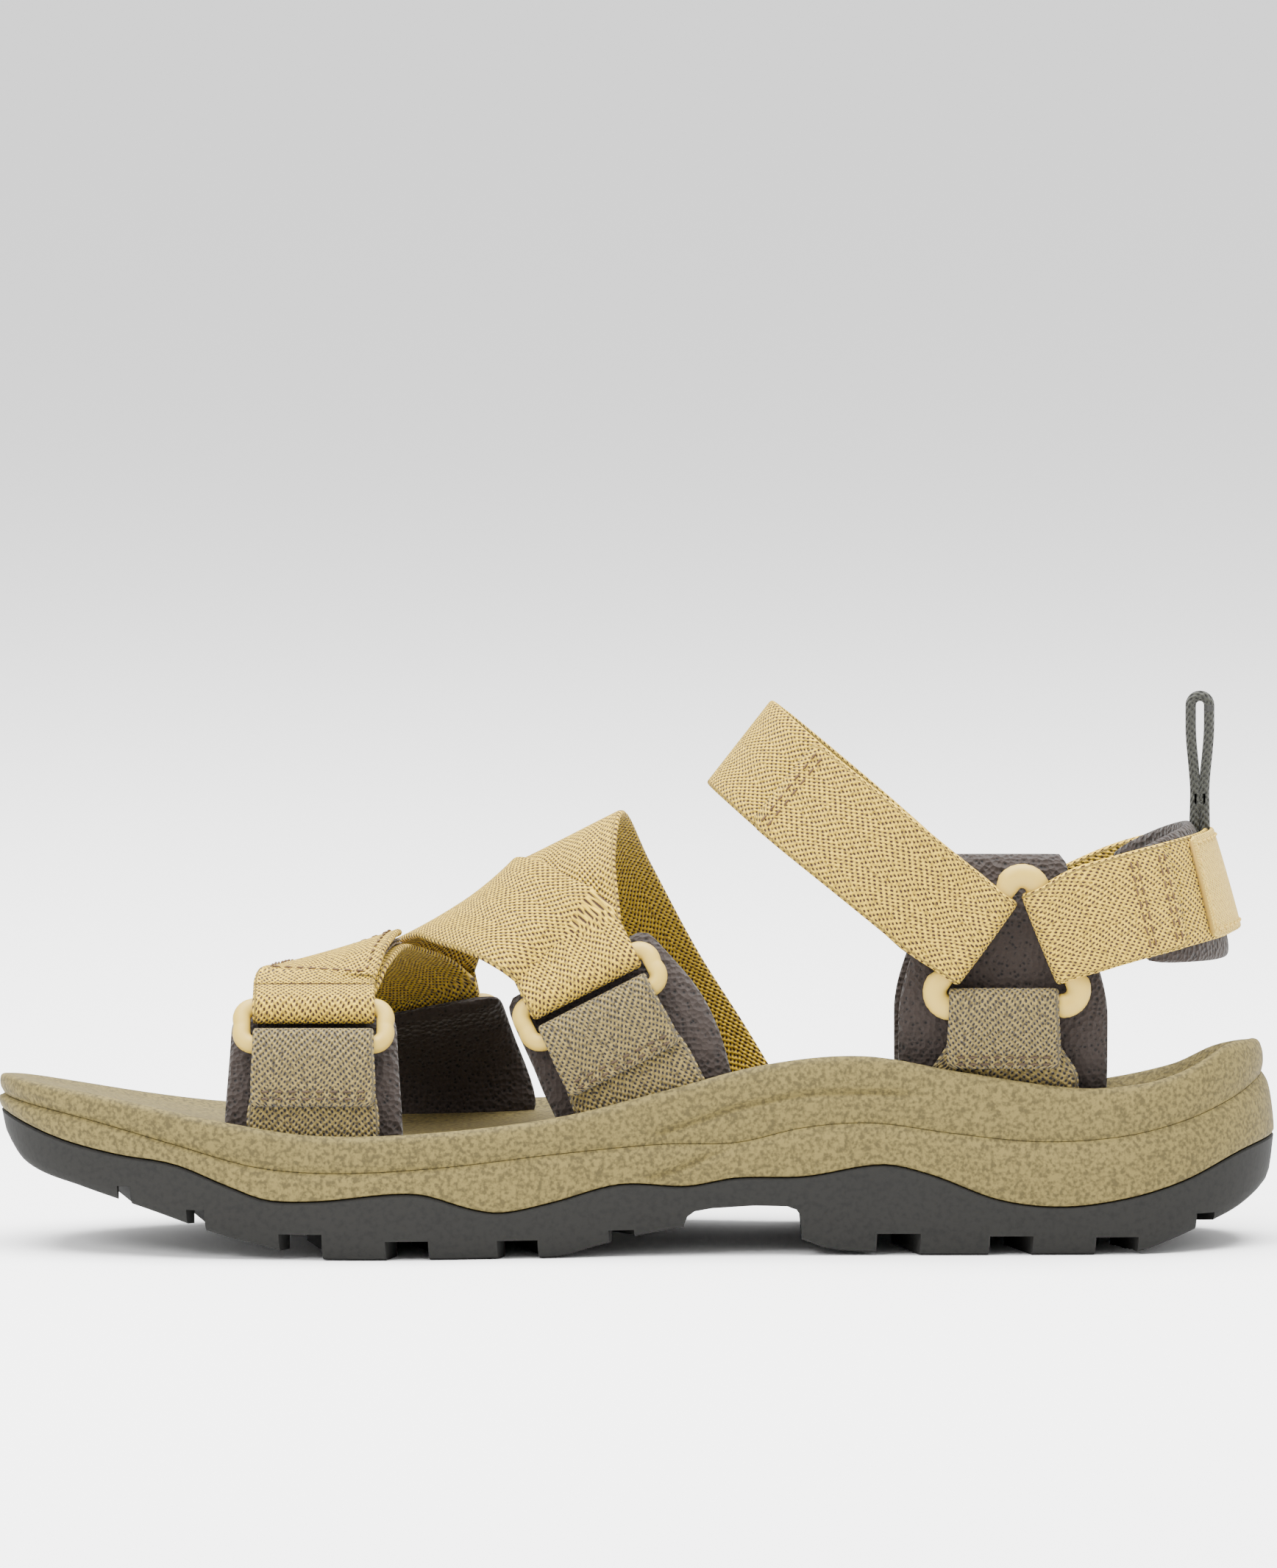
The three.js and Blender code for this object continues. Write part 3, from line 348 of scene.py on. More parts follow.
class Effects:
    """Shared patterns, each a node group built once."""

    def __init__(self) -> None:
        """Build every group."""
        self.twill = self._twill()
        self.speckle = self._speckle()
        self.mesh = self._mesh()

    @staticmethod
    def _twill() -> bpy.types.NodeTree:
        """Woven webbing: a staggered lattice of gaps between rounded yarns, its rows slanted to and fro.

        The gap value is the product of a cosine across the band and one along it, so that gaps lie on a
        diamond lattice; the place along is first moved by a zigzag across the band and both are made
        uneven by noise. The gap output is painted shade: it darkens the gaps between the yarns.

        Returns:
            Group with outputs Height, Gap and Tone.
        """
        tree, source, sink = _group("Webbing weave", {"Across": 0.00115, "Along": 0.00078, "Band": 0.0042,
                                                      "Unevenness": 0.0002}, ("Height", "Gap shade", "Tone"))
        calc = partial(_math, tree)
        place = source.outputs["Vector"]
        split = tree.nodes.new("ShaderNodeSeparateXYZ")
        tree.links.new(place, split.inputs[0])
        wobble = _noise(tree, place, 420, 2)
        shift = calc("MULTIPLY", calc("SUBTRACT", wobble, 0.5), source.outputs["Unevenness"])
        zigzag = calc("PINGPONG", split.outputs[1], source.outputs["Band"])
        u = calc("ADD", calc("ADD", split.outputs[0], calc("MULTIPLY", zigzag, 0.4)), shift)
        v = calc("ADD", split.outputs[1], shift)
        turns = calc("MULTIPLY", calc("DIVIDE", v, source.outputs["Across"]), 2 * math.pi)
        across = calc("COSINE", turns)
        turns = calc("MULTIPLY", calc("DIVIDE", u, source.outputs["Along"]), math.pi)
        lattice = calc("MULTIPLY", across, calc("COSINE", turns))
        fine = calc("MULTIPLY", calc("SUBTRACT", _noise(tree, place, 1900, 2), 0.5), 3.6)
        deep = calc("MULTIPLY", calc("SUBTRACT", lattice, 0.2), 2.6)
        # Painted shade: the gap mask darkens the weave between the yarns, and also sinks the bump there.
        gap = _clamp(tree, calc("ADD", deep, fine))
        tree.links.new(gap, sink.inputs["Gap shade"])
        crown = calc("MULTIPLY", calc("SUBTRACT", 1.0, lattice), 0.5)
        tree.links.new(calc("SUBTRACT", crown, calc("MULTIPLY", gap, 0.7)), sink.inputs["Height"])
        tree.links.new(_noise(tree, place, 1200, 3), sink.inputs["Tone"])
        return tree

    @staticmethod
    def _speckle() -> bpy.types.NodeTree:
        """Mottled grain: noise stretched in contrast, a slow drift of tone and a pebbled height.

        Returns:
            Group with outputs Speck, Drift and Height.
        """
        tree, source, sink = _group("Grain", {"Scale": 1400, "Cover": 0.5, "Contrast": 4.0},
                                    ("Speck", "Drift", "Height"))
        grain = tree.nodes.new("ShaderNodeTexNoise")
        grain.inputs["Detail"].default_value = 3
        tree.links.new(source.outputs["Vector"], grain.inputs["Vector"])
        tree.links.new(source.outputs["Scale"], grain.inputs["Scale"])
        over = _math(tree, "SUBTRACT", grain.outputs["Fac"], source.outputs["Cover"])
        speck = _clamp(tree, _math(tree, "MULTIPLY", over, source.outputs["Contrast"]))
        tree.links.new(speck, sink.inputs["Speck"])
        tree.links.new(_noise(tree, source.outputs["Vector"], 60, 3), sink.inputs["Drift"])
        tree.links.new(grain.outputs["Fac"], sink.inputs["Height"])
        return tree

    @staticmethod
    def _mesh() -> bpy.types.NodeTree:
        """Knitted spacer mesh: uneven cells, with painted shade in the pores and painted highlight flecks on
        the yarns.

        Returns:
            Group with outputs Height, Pore and Yarn.
        """
        tree, source, sink = _group("Knit", {"Scale": 620}, ("Height", "Pore shade", "Yarn glint"))
        cells = tree.nodes.new("ShaderNodeTexVoronoi")
        cells.inputs["Randomness"].default_value = 0.8
        tree.links.new(source.outputs["Vector"], cells.inputs["Vector"])
        tree.links.new(source.outputs["Scale"], cells.inputs["Scale"])
        tree.links.new(cells.outputs["Distance"], sink.inputs["Height"])
        # Painted shade: the pores darken towards the middle of each cell.
        near = _math(tree, "SUBTRACT", 0.4, cells.outputs["Distance"])
        tree.links.new(_clamp(tree, _math(tree, "MULTIPLY", near, 4.0)), sink.inputs["Pore shade"])
        # Painted highlight: bright flecks that stand for glints on the yarns.
        fine = _math(tree, "SUBTRACT", _noise(tree, source.outputs["Vector"], 1500, 2), 0.52)
        tree.links.new(_clamp(tree, _math(tree, "MULTIPLY", fine, 6.0)), sink.inputs["Yarn glint"])
        return tree


class Pattern(Enum):
    """Pattern that a finish is laid with."""

    TWILL = "twill"
    SPECKLE = "speckle"
    MESH = "mesh"


@dataclass(frozen=True)
class Finish:
    """One finish: its slot name, colours, gloss and pattern."""

    slot: str
    colour: tuple[float, float, float]
    # Second colour: the dark specks of a speckle, and painted shade in the gaps and pores of a twill or a
    # mesh.
    speck_and_painted_shade: tuple[float, float, float]
    roughness: float
    pattern: Pattern
    depth: float
    strength: float
    sheen: float = 0.0
    scale: float = 1400.0
    cover: float = 0.5
    contrast: float = 4.0

    def material(self, name: str, effects: Effects) -> bpy.types.Material:
        """Make the material of this finish.

        Args:
            name: The material's name.
            effects: The shared patterns.

        Returns:
            The new material.
        """
        made = bpy.data.materials.new(name)
        made.use_nodes = True
        tree = made.node_tree
        shader = tree.nodes["Principled BSDF"]
        shader.inputs["Roughness"].default_value = self.roughness
        shader.inputs["Specular IOR Level"].default_value = SPECULAR
        shader.inputs["Sheen Weight"].default_value = self.sheen
        mask, height = self._pattern_sockets(tree, effects)
        blend = tree.nodes.new("ShaderNodeMix")
        blend.data_type = "RGBA"
        # The mask blends the first colour into the second, which for twill and mesh finishes is painted
        # shade.
        blend.inputs[6].default_value = (*self.colour, 1)
        blend.inputs[7].default_value = (*self.speck_and_painted_shade, 1)
        tree.links.new(mask, blend.inputs[0])
        tree.links.new(blend.outputs[2], shader.inputs["Base Color"])
        bump = tree.nodes.new("ShaderNodeBump")
        bump.inputs["Distance"].default_value = self.depth
        bump.inputs["Strength"].default_value = self.strength
        tree.links.new(height, bump.inputs["Height"])
        tree.links.new(bump.outputs[0], shader.inputs["Normal"])
        return made

    def _pattern_sockets(self, tree: bpy.types.NodeTree, effects: Effects) -> tuple:
        """Add the pattern's nodes.

        Args:
            tree: The material's nodes.
            effects: The shared patterns.

        Returns:
            The mask socket and the height socket.
        """
        group = tree.nodes.new("ShaderNodeGroup")
        calc = partial(_math, tree)
        if self.pattern is Pattern.TWILL:
            run = tree.nodes.new("ShaderNodeUVMap")
            run.uv_map = "run"
            group.node_tree = effects.twill
            group.inputs["Across"].default_value = self.scale
            group.inputs["Along"].default_value = self.scale * GAP_STRETCH
            tree.links.new(run.outputs[0], group.inputs["Vector"])
            # Painted shade in the gaps between yarns, plus tone that varies at random from yarn to yarn.
            tone = calc("MULTIPLY", calc("SUBTRACT", group.outputs["Tone"], 0.42), self.contrast)
            mask = calc("ADD", calc("MULTIPLY", group.outputs["Gap shade"], self.cover), tone)
            return mask, group.outputs["Height"]
        place = tree.nodes.new("ShaderNodeTexCoord")
        group.node_tree = effects.mesh if self.pattern is Pattern.MESH else effects.speckle
        tree.links.new(place.outputs["Object"], group.inputs["Vector"])
        group.inputs["Scale"].default_value = self.scale
        if self.pattern is Pattern.MESH:
            # Painted shade in the pores, taken back to the lighter colour where the painted highlight flecks
            # fall.
            yarn_glint = calc("MULTIPLY", group.outputs["Yarn glint"], self.contrast)
            return calc("SUBTRACT", group.outputs["Pore shade"], yarn_glint), group.outputs["Height"]
        group.inputs["Cover"].default_value = self.cover
        group.inputs["Contrast"].default_value = self.contrast
        drift = calc("MULTIPLY", calc("SUBTRACT", group.outputs["Drift"], 0.5), 0.4)
        return calc("ADD", group.outputs["Speck"], drift), group.outputs["Height"]


class Wardrobe:
    """Every finish of the sandal, made into materials once."""

    # Each second colour is a dark speck colour for the speckled finishes, and painted shade, between yarns
    # and in mesh pores, for the twill and mesh finishes.
    FINISHES = {
        "webbing": Finish(
            "webbing", (0.7, 0.455, 0.025), (0.035, 0.012, 0.001), 0.8,
            Pattern.TWILL, 0.0007, 1.0, sheen=0.06, scale=0.00112, cover=1.0, contrast=2.4),
        "tape": Finish(
            "webbing", (0.52, 0.36, 0.06), (0.16, 0.08, 0.012), 0.75,
            Pattern.TWILL, 0.0003, 0.6, sheen=0.06, scale=0.0008, cover=0.5, contrast=1.2),
        "tab": Finish(
            "tab_webbing", (0.235, 0.17, 0.045), (0.012, 0.007, 0.003), 0.8,
            Pattern.TWILL, 0.0007, 1.0, sheen=0.1, scale=0.00112, cover=1.1, contrast=3.4),
        "ring": Finish(
            "ring_plastic", (0.44, 0.3, 0.05), (0.35, 0.22, 0.032), 0.45,
            Pattern.SPECKLE, 0.00003, 0.1, scale=300.0, cover=0.55, contrast=1.5),
        "lining": Finish(
            "lining", (0.024, 0.017, 0.014), (0.002, 0.0015, 0.0015), 0.95,
            Pattern.MESH, 0.0007, 1.0, sheen=0.12, scale=900.0, contrast=2.6),
        "pile": Finish(
            "closure_tape", (0.12, 0.075, 0.03), (0.05, 0.03, 0.012), 0.95,
            Pattern.MESH, 0.0006, 1.0, sheen=0.3, scale=1400.0, contrast=0.3),
        "foam": Finish(
            "foam", (0.13, 0.1, 0.03), (0.056, 0.043, 0.013), 0.8,
            Pattern.SPECKLE, 0.0003, 0.7, scale=1150.0, cover=0.4, contrast=4.5),
        "rubber": Finish(
            "outsole_rubber", (0.0085, 0.0082, 0.007), (0.004, 0.004, 0.0035), 0.85,
            Pattern.SPECKLE, 0.00015, 0.4, scale=900.0, cover=0.45, contrast=3.0),
        "shank": Finish(
            "shank_plastic", (0.05, 0.05, 0.046), (0.03, 0.03, 0.027), 0.5,
            Pattern.SPECKLE, 0.00005, 0.2, scale=800.0),
        "cord": Finish(
            "cord", (0.035, 0.036, 0.028), (0.006, 0.006, 0.005), 0.85,
            Pattern.TWILL, 0.0004, 1.0, sheen=0.1, scale=0.0011, cover=0.8, contrast=1.4),
        "thread": Finish(
            "webbing", (0.09, 0.05, 0.02), (0.04, 0.022, 0.01), 0.7,
            Pattern.SPECKLE, 0.00003, 0.2, scale=3000.0),
        "pale_thread": Finish(
            "webbing", (0.5, 0.34, 0.07), (0.3, 0.19, 0.03), 0.7,
            Pattern.SPECKLE, 0.00003, 0.2, scale=3000.0),
        "tab_thread": Finish(
            "tab_webbing", (0.05, 0.03, 0.015), (0.02, 0.012, 0.007), 0.7,
            Pattern.SPECKLE, 0.00003, 0.2, scale=3000.0),
    }

    def __init__(self) -> None:
        """Make the materials."""
        effects = Effects()
        self.materials = {name: finish.material(name, effects) for name, finish in self.FINISHES.items()}

    def dress(self, obj: bpy.types.Object, finish: str, body: Body, *nodes: str) -> bpy.types.Object:
        """Give a piece its finish, its body and the frame nodes it stands for.

        Args:
            obj: The piece.
            finish: Name of the finish.
            body: Body that the piece rides on.
            nodes: Frame nodes that the piece replaces.

        Returns:
            The same piece.
        """
        obj.data.materials.clear()
        obj.data.materials.append(self.materials[finish])
        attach(obj, body.value)
        if nodes:
            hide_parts(*nodes)
        LOG.info("%s: %d faces", obj.name, len(obj.data.polygons))
        return obj


# ------------------------------------------------------------------ rings, bars and bands


@dataclass(frozen=True)
class Bar:
    """Frame on a ring's bar: u along it, v the way the webbing leaves, n away from the foot."""

    o: Array
    u: Array
    v: Array
    n: Array
    bow: float = 0.0

    def at(self, a: float, b: float, c: float) -> Array:
        """Return the point a along the bar, b along the bowed webbing and c off it, outwards."""
        reach = max(b, 0.0)
        out = unit(self.n + self.v * 2 * self.bow * reach)
        return self.o + self.u * a + self.v * b - self.n * self.bow * reach * reach + out * c

    def leg(self, side: int, runs: Sequence[float], spread: float, width: float = WEBBING_WIDTH,
            at_bar: float | None = None) -> Array:
        """Return band stations on one side of the bar.

        Args:
            side: -1 for the inner side and 1 for the outer side.
            runs: Distances from the bar.
            spread: Distance off the bar's plane once the webbing has settled.
            width: Width of the webbing away from the bar.
            at_bar: Width that it gathers to at the bar.

        Returns:
            One row for each station: place, width direction and width.
        """
        rows = []
        for b in runs:
            share = smooth(b / SEAT)
            place = self.at(0, b, side * mix(WRAP, spread, share))
            rows.append([*place, *self.u, mix(width if at_bar is None else at_bar, width, share)])
        return np.array(rows)

    def bend(self, width: float, start: float = -90, end: float = 90, steps: int = 14) -> Array:
        """Return band stations round the bar between two angles, -90 being the inner side."""
        rows = []
        for angle in np.radians(np.linspace(start, end, steps + 1)):
            place = self.at(0, -WRAP * math.cos(angle), WRAP * math.sin(angle))
            rows.append([*place, *self.u, width])
        return np.array(rows)

    def leaned(self, angle: float) -> "Bar":
        """Return the frame turned inwards about the bar, for webbing that leaves at that angle."""
        c, s = math.cos(math.radians(angle)), math.sin(math.radians(angle))
        return Bar(self.o, self.u, self.v * c - self.n * s, self.n * c + self.v * s, self.bow)


@dataclass(frozen=True)
class Ring:
    """A moulded ring: the centre and the axes of its plane, and the corners of its bar."""

    name: str
    centre: Array
    tilt: float
    lean: float
    side: int
    corners: tuple[tuple[float, float], ...]
    radius: float
    swell: float = 0.35
    lobe: float = 4.0

    def axes(self) -> tuple[Array, Array, Array]:
        """Return the ring's u, v and n directions."""
        t, lean = math.radians(self.tilt), math.radians(self.lean)
        u = vec(math.cos(t), 0, math.sin(t))
        v = vec(-u[2] * math.cos(lean), -self.side * math.sin(lean), u[0] * math.cos(lean))
        return u, v, np.cross(u, v) if self.side < 0 else np.cross(v, u)

    def bar(self, spot: tuple[float, float], direction: float, bow: float = 0.0) -> Bar:
        """Return the frame on a bar at a spot of the ring's plane, the webbing leaving at `direction`."""
        u, v, n = self.axes()
        c, s = math.cos(math.radians(direction)), math.sin(math.radians(direction))
        return Bar(self.centre + u * spot[0] + v * spot[1], u * s - v * c, u * c + v * s, n, bow)

    def path(self, steps: int = 8, along: int = 7) -> tuple[Array, Array]:
        """Return the bar's centre line in the ring's plane and how near each point is to a corner.

        Args:
            steps: Steps round each corner's arc.
            along: Steps along each straight bar.

        Returns:
            The points, and a share that is 1 at the corners and 0 in the middle of each bar.
        """
        arcs = []
        corners = np.array(self.corners)
        for i, corner in enumerate(corners):
            before, after = unit(corners[i - 1] - corner), unit(corners[(i + 1) % len(corners)] - corner)
            half = math.acos(float(np.clip(before @ after, -1, 1))) / 2
            centre = corner + unit(before + after) * self.radius / math.sin(half)
            a = corner + before * self.radius / math.tan(half) - centre
            b = corner + after * self.radius / math.tan(half) - centre
            sweep = math.pi - 2 * half
            t = np.linspace(0, 1, steps + 1)[:, None]
            arcs.append(centre + (a * np.sin((1 - t) * sweep) + b * np.sin(t * sweep)) / math.sin(sweep))
        points, shares = [], []
        for i, arc in enumerate(arcs):
            gap = arcs[(i + 1) % len(arcs)][0] - arc[-1]
            t = np.linspace(0, 1, along + 2)[1:-1]
            reach = np.minimum(t, 1 - t) * np.linalg.norm(gap)
            points += [arc, arc[-1] + gap * t[:, None]]
            shares += [np.ones(len(arc)), 1 - smooth(reach / self.lobe)]
        return np.vstack(points), np.concatenate(shares)

    def build(self) -> bpy.types.Object:
        """Return the ring's mesh: a round section carried along its path, swelling at the corners."""
        u, v, n = self.axes()
        path, corner = self.path()
        along = unit(np.roll(path, -1, 0) - np.roll(path, 1, 0))
        across = np.stack([along[:, 1], -along[:, 0]], 1)
        turn = np.linspace(0, 2 * math.pi, 20, endpoint=False)
        half = BAR_RADIUS + self.swell * corner
        deep = BAR_RADIUS + 0.25 * corner
        centre = path + across * (0.75 * self.swell * corner)[:, None]
        flat = centre[:, None] + across[:, None] * (half[:, None] * np.cos(turn))[..., None]
        off = deep[:, None] * np.sin(turn)
        rings = self.centre + flat[..., :1] * u + flat[..., 1:] * v + off[..., None] * n
        return skin(self.name, rings, loop=True)


def route(points: Sequence[tuple[float, ...]], start: Array | None = None,
          end: Array | None = None, width: float = WEBBING_WIDTH, per_span: int = PER_SPAN) -> Array:
    """Return band stations along a centripetal Catmull-Rom curve.

    Args:
        points: (x, y, z, tilt, lean) knots; the tilt is the band's slope in the XZ plane and the lean, zero
            where it is left out, turns its upper edge towards +Y, both in degrees.
        start: Station that the curve sets out from and leaves out.
        end: Station that the curve runs up to and leaves out.
        width: Width of the band.
        per_span: Samples for each span.

    Returns:
        One row for each station: place, width direction and width.
    """
    knots = [vec(*point[:3]) for point in points]
    tilts = [point[3] for point in points]
    leans = [point[4] if len(point) > 4 else 0.0 for point in points]

    def tilt_near(station: Array, goal: float) -> float:
        """Return a station's tilt, turned by half turns to lie nearest the goal."""
        angle = math.degrees(math.atan2(station[5], station[3]))
        return angle - 180 * round((angle - goal) / 180)

    if start is not None:
        tilts.insert(0, tilt_near(start, tilts[0]))
        leans.insert(0, 0.0)
        knots.insert(0, start[:3])
    if end is not None:
        tilts.append(tilt_near(end, tilts[-1]))
        leans.append(0.0)
        knots.append(end[:3])
    p = [2 * knots[0] - knots[1], *knots, 2 * knots[-1] - knots[-2]]
    rows = []
    spans = len(knots) - 1
    last = spans * per_span - (end is not None)
    for i in range(1 if start is not None else 0, last + 1):
        k = min(i // per_span, spans - 1)
        t = i / per_span - k
        p0, p1, p2, p3 = p[k:k + 4]
        d0, d1, d2 = (math.sqrt(np.linalg.norm(b - a)) for a, b in ((p0, p1), (p1, p2), (p2, p3)))
        t1 = ((p1 - p0) / d0 - (p2 - p0) / (d0 + d1) + (p2 - p1) / d1) * d1
        t2 = ((p2 - p1) / d1 - (p3 - p1) / (d1 + d2) + (p3 - p2) / d2) * d1
        place = p1 + t1 * t + (3 * (p2 - p1) - 2 * t1 - t2) * t * t + (2 * (p1 - p2) + t1 + t2) * t**3
        tilt = math.radians(mix(tilts[k], tilts[k + 1], t))
        lean = math.radians(mix(leans[k], leans[k + 1], t))
        slope = (math.cos(tilt) * math.cos(lean), math.sin(lean), math.sin(tilt) * math.cos(lean))
        rows.append([*place, *slope, width])
    return np.array(rows)


class Band:
    """Flat band through stations, with the frame of each station and its distance along the run."""

    def __init__(self, rows: Array, normals: Array | None = None) -> None:
        """Work out the frames.

        Args:
            rows: Stations, each a place, a width direction and a width.
            normals: Normals kept from another band, or nothing.
        """
        self.p, self.w, self.width = rows[:, :3], rows[:, 3:6].copy(), rows[:, 6]
        for i in range(1, len(self.w)):
            if self.w[i] @ self.w[i - 1] < 0:
                self.w[i] *= -1
        along = unit(np.vstack([self.p[1] - self.p[0], self.p[2:] - self.p[:-2], self.p[-1] - self.p[-2]]))
        if normals is None:
            self.w = unit(self.w - along * (self.w * along).sum(1, keepdims=True))
            self.n = np.cross(along, self.w)
        else:
            self.n = normals
        self.run = np.append(0, np.cumsum(np.linalg.norm(np.diff(self.p, axis=0), axis=1)))

    def lifted(self, core: Array, distance: float, width: float | None = None) -> "Band":
        """Return the band moved away from the core point, square to itself."""
        sign = np.sign((self.n * (self.p - core)).sum(1, keepdims=True))
        widths = self.width if width is None else np.full(len(self.p), width)
        rows = np.hstack([self.p + self.n * sign * distance, self.w, widths[:, None]])
        return Band(rows, self.n * sign)

    def rows(self) -> Array:
        """Return the band's stations as rows."""
        return np.hstack([self.p, self.w, self.width[:, None]])

    def part(self, chosen: slice) -> "Band":
        """Return a stretch of the band that keeps its normals."""
        return Band(self.rows()[chosen], self.n[chosen])

    def spot(self, run: float, across: float, off: float) -> tuple[Array, Array, Array, Array]:
        """Return a place on the band and the directions along, across and out of it there."""
        def at(values: Array) -> Array:
            """Return the values' linear interpolation at the run."""
            return np.array([np.interp(run, self.run, values[:, k]) for k in range(3)])

        w, n = unit(at(self.w)), unit(at(self.n))
        return at(self.p) + w * across + n * off, np.cross(w, n), w, n

    def build(self, name: str, thick: float = WEBBING_THICK, round_ends: tuple[float, float] = (0, 0),
              crown: float = 0.12) -> bpy.types.Object:
        """Return the band's mesh: a flat section with rounded selvedges, carried along the run.

        Args:
            name: The piece's name.
            thick: Thickness of the band.
            round_ends: Corner radius at the first and the last end.
            crown: How far the middle stands above the selvedges.

        Returns:
            The new object, with its run and girth as the UV map.
        """
        half = np.clip(self.width / 2, 0.5, None)
        total = self.run[-1]
        for radius, distance in ((round_ends[0], self.run), (round_ends[1], total - self.run)):
            if radius:
                left = np.clip(radius - distance, 0, radius)
                half = half - (radius - np.sqrt(radius**2 - left**2))
        flat = np.linspace(-1, 1, 11)
        turn = np.radians(np.linspace(-90, 90, 7))[1:-1]
        edge = thick / 2
        a = np.concatenate([flat, [1] * 5, flat[::-1], [-1] * 5])
        extra = np.concatenate([[0] * 11, edge * np.cos(turn), [0] * 11, -edge * np.cos(turn[::-1])])
        c = np.concatenate([[-1] * 11, np.sin(turn), [1] * 11, np.sin(turn[::-1])])
        offset = c * edge + crown * (1 - a**2) * (c > 0.9)
        inner = half[:, None] - edge
        across = a[None, :] * inner + extra[None, :]
        rings = (self.p[:, None] + across[..., None] * self.w[:, None]
                 + offset[None, :, None] * self.n[:, None])
        girth = a * np.median(inner) + extra
        uv_girth = np.concatenate([girth[:16], 2 * girth[10] - girth[16:27] + 2, girth[27:] + 60])
        return skin(name, rings, caps=True, runs=self.run, girth=uv_girth)

    def pillow(self, name: str, thick: float, roundness: float = 3.0) -> bpy.types.Object:
        """Return a padded, crowned form along the band, thin at its edge all the way round.

        Args:
            name: The piece's name.
            thick: Thickness in the middle.
            roundness: Power of the superellipse that the section follows.

        Returns:
            The new object.
        """
        share = self.run / self.run[-1]
        ends = np.clip(1 - np.abs(2 * share - 1) ** 9, 0, 1) ** 0.5
        turn = np.linspace(0, 2 * math.pi, 40, endpoint=False)
        a = np.sign(np.cos(turn)) * np.abs(np.cos(turn)) ** (2 / roundness / 1.6)
        c = np.sign(np.sin(turn)) * np.abs(np.sin(turn)) ** 0.9
        width = self.width * mix(0.86, 1, ends)
        rings = (self.p[:, None] + a[None, :, None] * (width[:, None, None] / 2) * self.w[:, None]
                 + c[None, :, None] * (thick / 2 * np.clip(ends, 0.12, 1))[:, None, None] * self.n[:, None])
        return skin(name, rings, caps=True)


class Stitches:
    """Rows of sewing thread lying on a band, gathered into one piece."""

    LENGTH = 1.9
    PITCH = 2.5
    THICK = 0.26
    SUNK = 0.1

    def __init__(self, band: Band, off: float, out: Array) -> None:
        """Start with no rows.

        Args:
            band: Band that the rows lie on.
            off: Height of its face above its middle.
            out: Direction that the sewn face looks in at the band's start.
        """
        self.band, self.off = band, off if band.n[0] @ out > 0 else -off
        self.vertices: list[Array] = []
        self.faces: list[list[int]] = []

    def row(self, start: tuple[float, float], end: tuple[float, float]) -> "Stitches":
        """Add a row between two (run, across) spots and return the rows."""
        length = math.dist(start, end)
        count = max(int(length / self.PITCH), 1)
        for i in range(count):
            t = (i + 0.5) / count
            middle = [mix(start[k], end[k], t) for k in (0, 1)]
            place, along, across, out = self.band.spot(middle[0], middle[1], self.off)
            direction = unit(along * (end[0] - start[0]) + across * (end[1] - start[1]))
            self._stitch(place, direction, out * np.sign(self.off))
        return self

    def border(self, start: float, end: float, across: float) -> "Stitches":
        """Add a rectangle of rows between two runs, `across` to each side, and return the rows."""
        self.row((start, -across), (end, -across)).row((start, across), (end, across))
        return self.row((start, -across), (start, across)).row((end, -across), (end, across))

    def _stitch(self, place: Array, along: Array, out: Array) -> None:
        """Add one stitch: a six-sided bead, pointed at both ends and sunk to half its height."""
        side = np.cross(out, along)
        base = sum(len(rows) for rows in self.vertices)
        turn = np.linspace(0, 2 * math.pi, 6, endpoint=False)
        circle = (np.cos(turn)[:, None] * side + np.sin(turn)[:, None] * out) * self.THICK
        points = [place - along * self.LENGTH / 2 - out * self.SUNK]
        points += list(place + circle - along * self.LENGTH / 4)
        points += list(place + circle + along * self.LENGTH / 4)
        points.append(place + along * self.LENGTH / 2 - out * self.SUNK)
        self.vertices.append(np.array(points))
        for i in range(6):
            j = (i + 1) % 6
            self.faces.append([base, base + 1 + j, base + 1 + i])
            self.faces.append([base + 1 + i, base + 1 + j, base + 7 + j, base + 7 + i])
            self.faces.append([base + 13, base + 7 + i, base + 7 + j])

    def build(self, name: str) -> bpy.types.Object:
        """Return the rows as one object."""
        obj = new_object(name, np.vstack(self.vertices), self.faces)
        weld(obj, 1e-8)
        return obj


def closure_tapes(name: str, base: Band, core: Array, width: float, body: Body,
                  wardrobe: Wardrobe) -> None:
    """Build and dress the hook and the loop patch of a closure, between its strap and its flap.

    Args:
        name: Name that the closure's pieces begin with.
        base: The stretch of strap under the patches.
        core: Point inside the sandal that the layers are lifted away from.
        width: Width of the patches.
        body: Body of the flap, which the hook patch rides on.
        wardrobe: The finishes.
    """
    for kind, lift, rides in (("hook", HOOK_LIFT, body), ("loop", LOOP_LIFT, Body.SANDAL)):
        tape = base.lifted(core, lift, width).build(f"{name}_{kind}_tape", TAPE_THICK, crown=0)
        wardrobe.dress(tape, "pile", rides, f"{name}_{kind}_patch")


# ------------------------------------------------------------------ sole


class Side(Enum):
    """Side of the sandal."""

    MEDIAL = -1
    LATERAL = 1


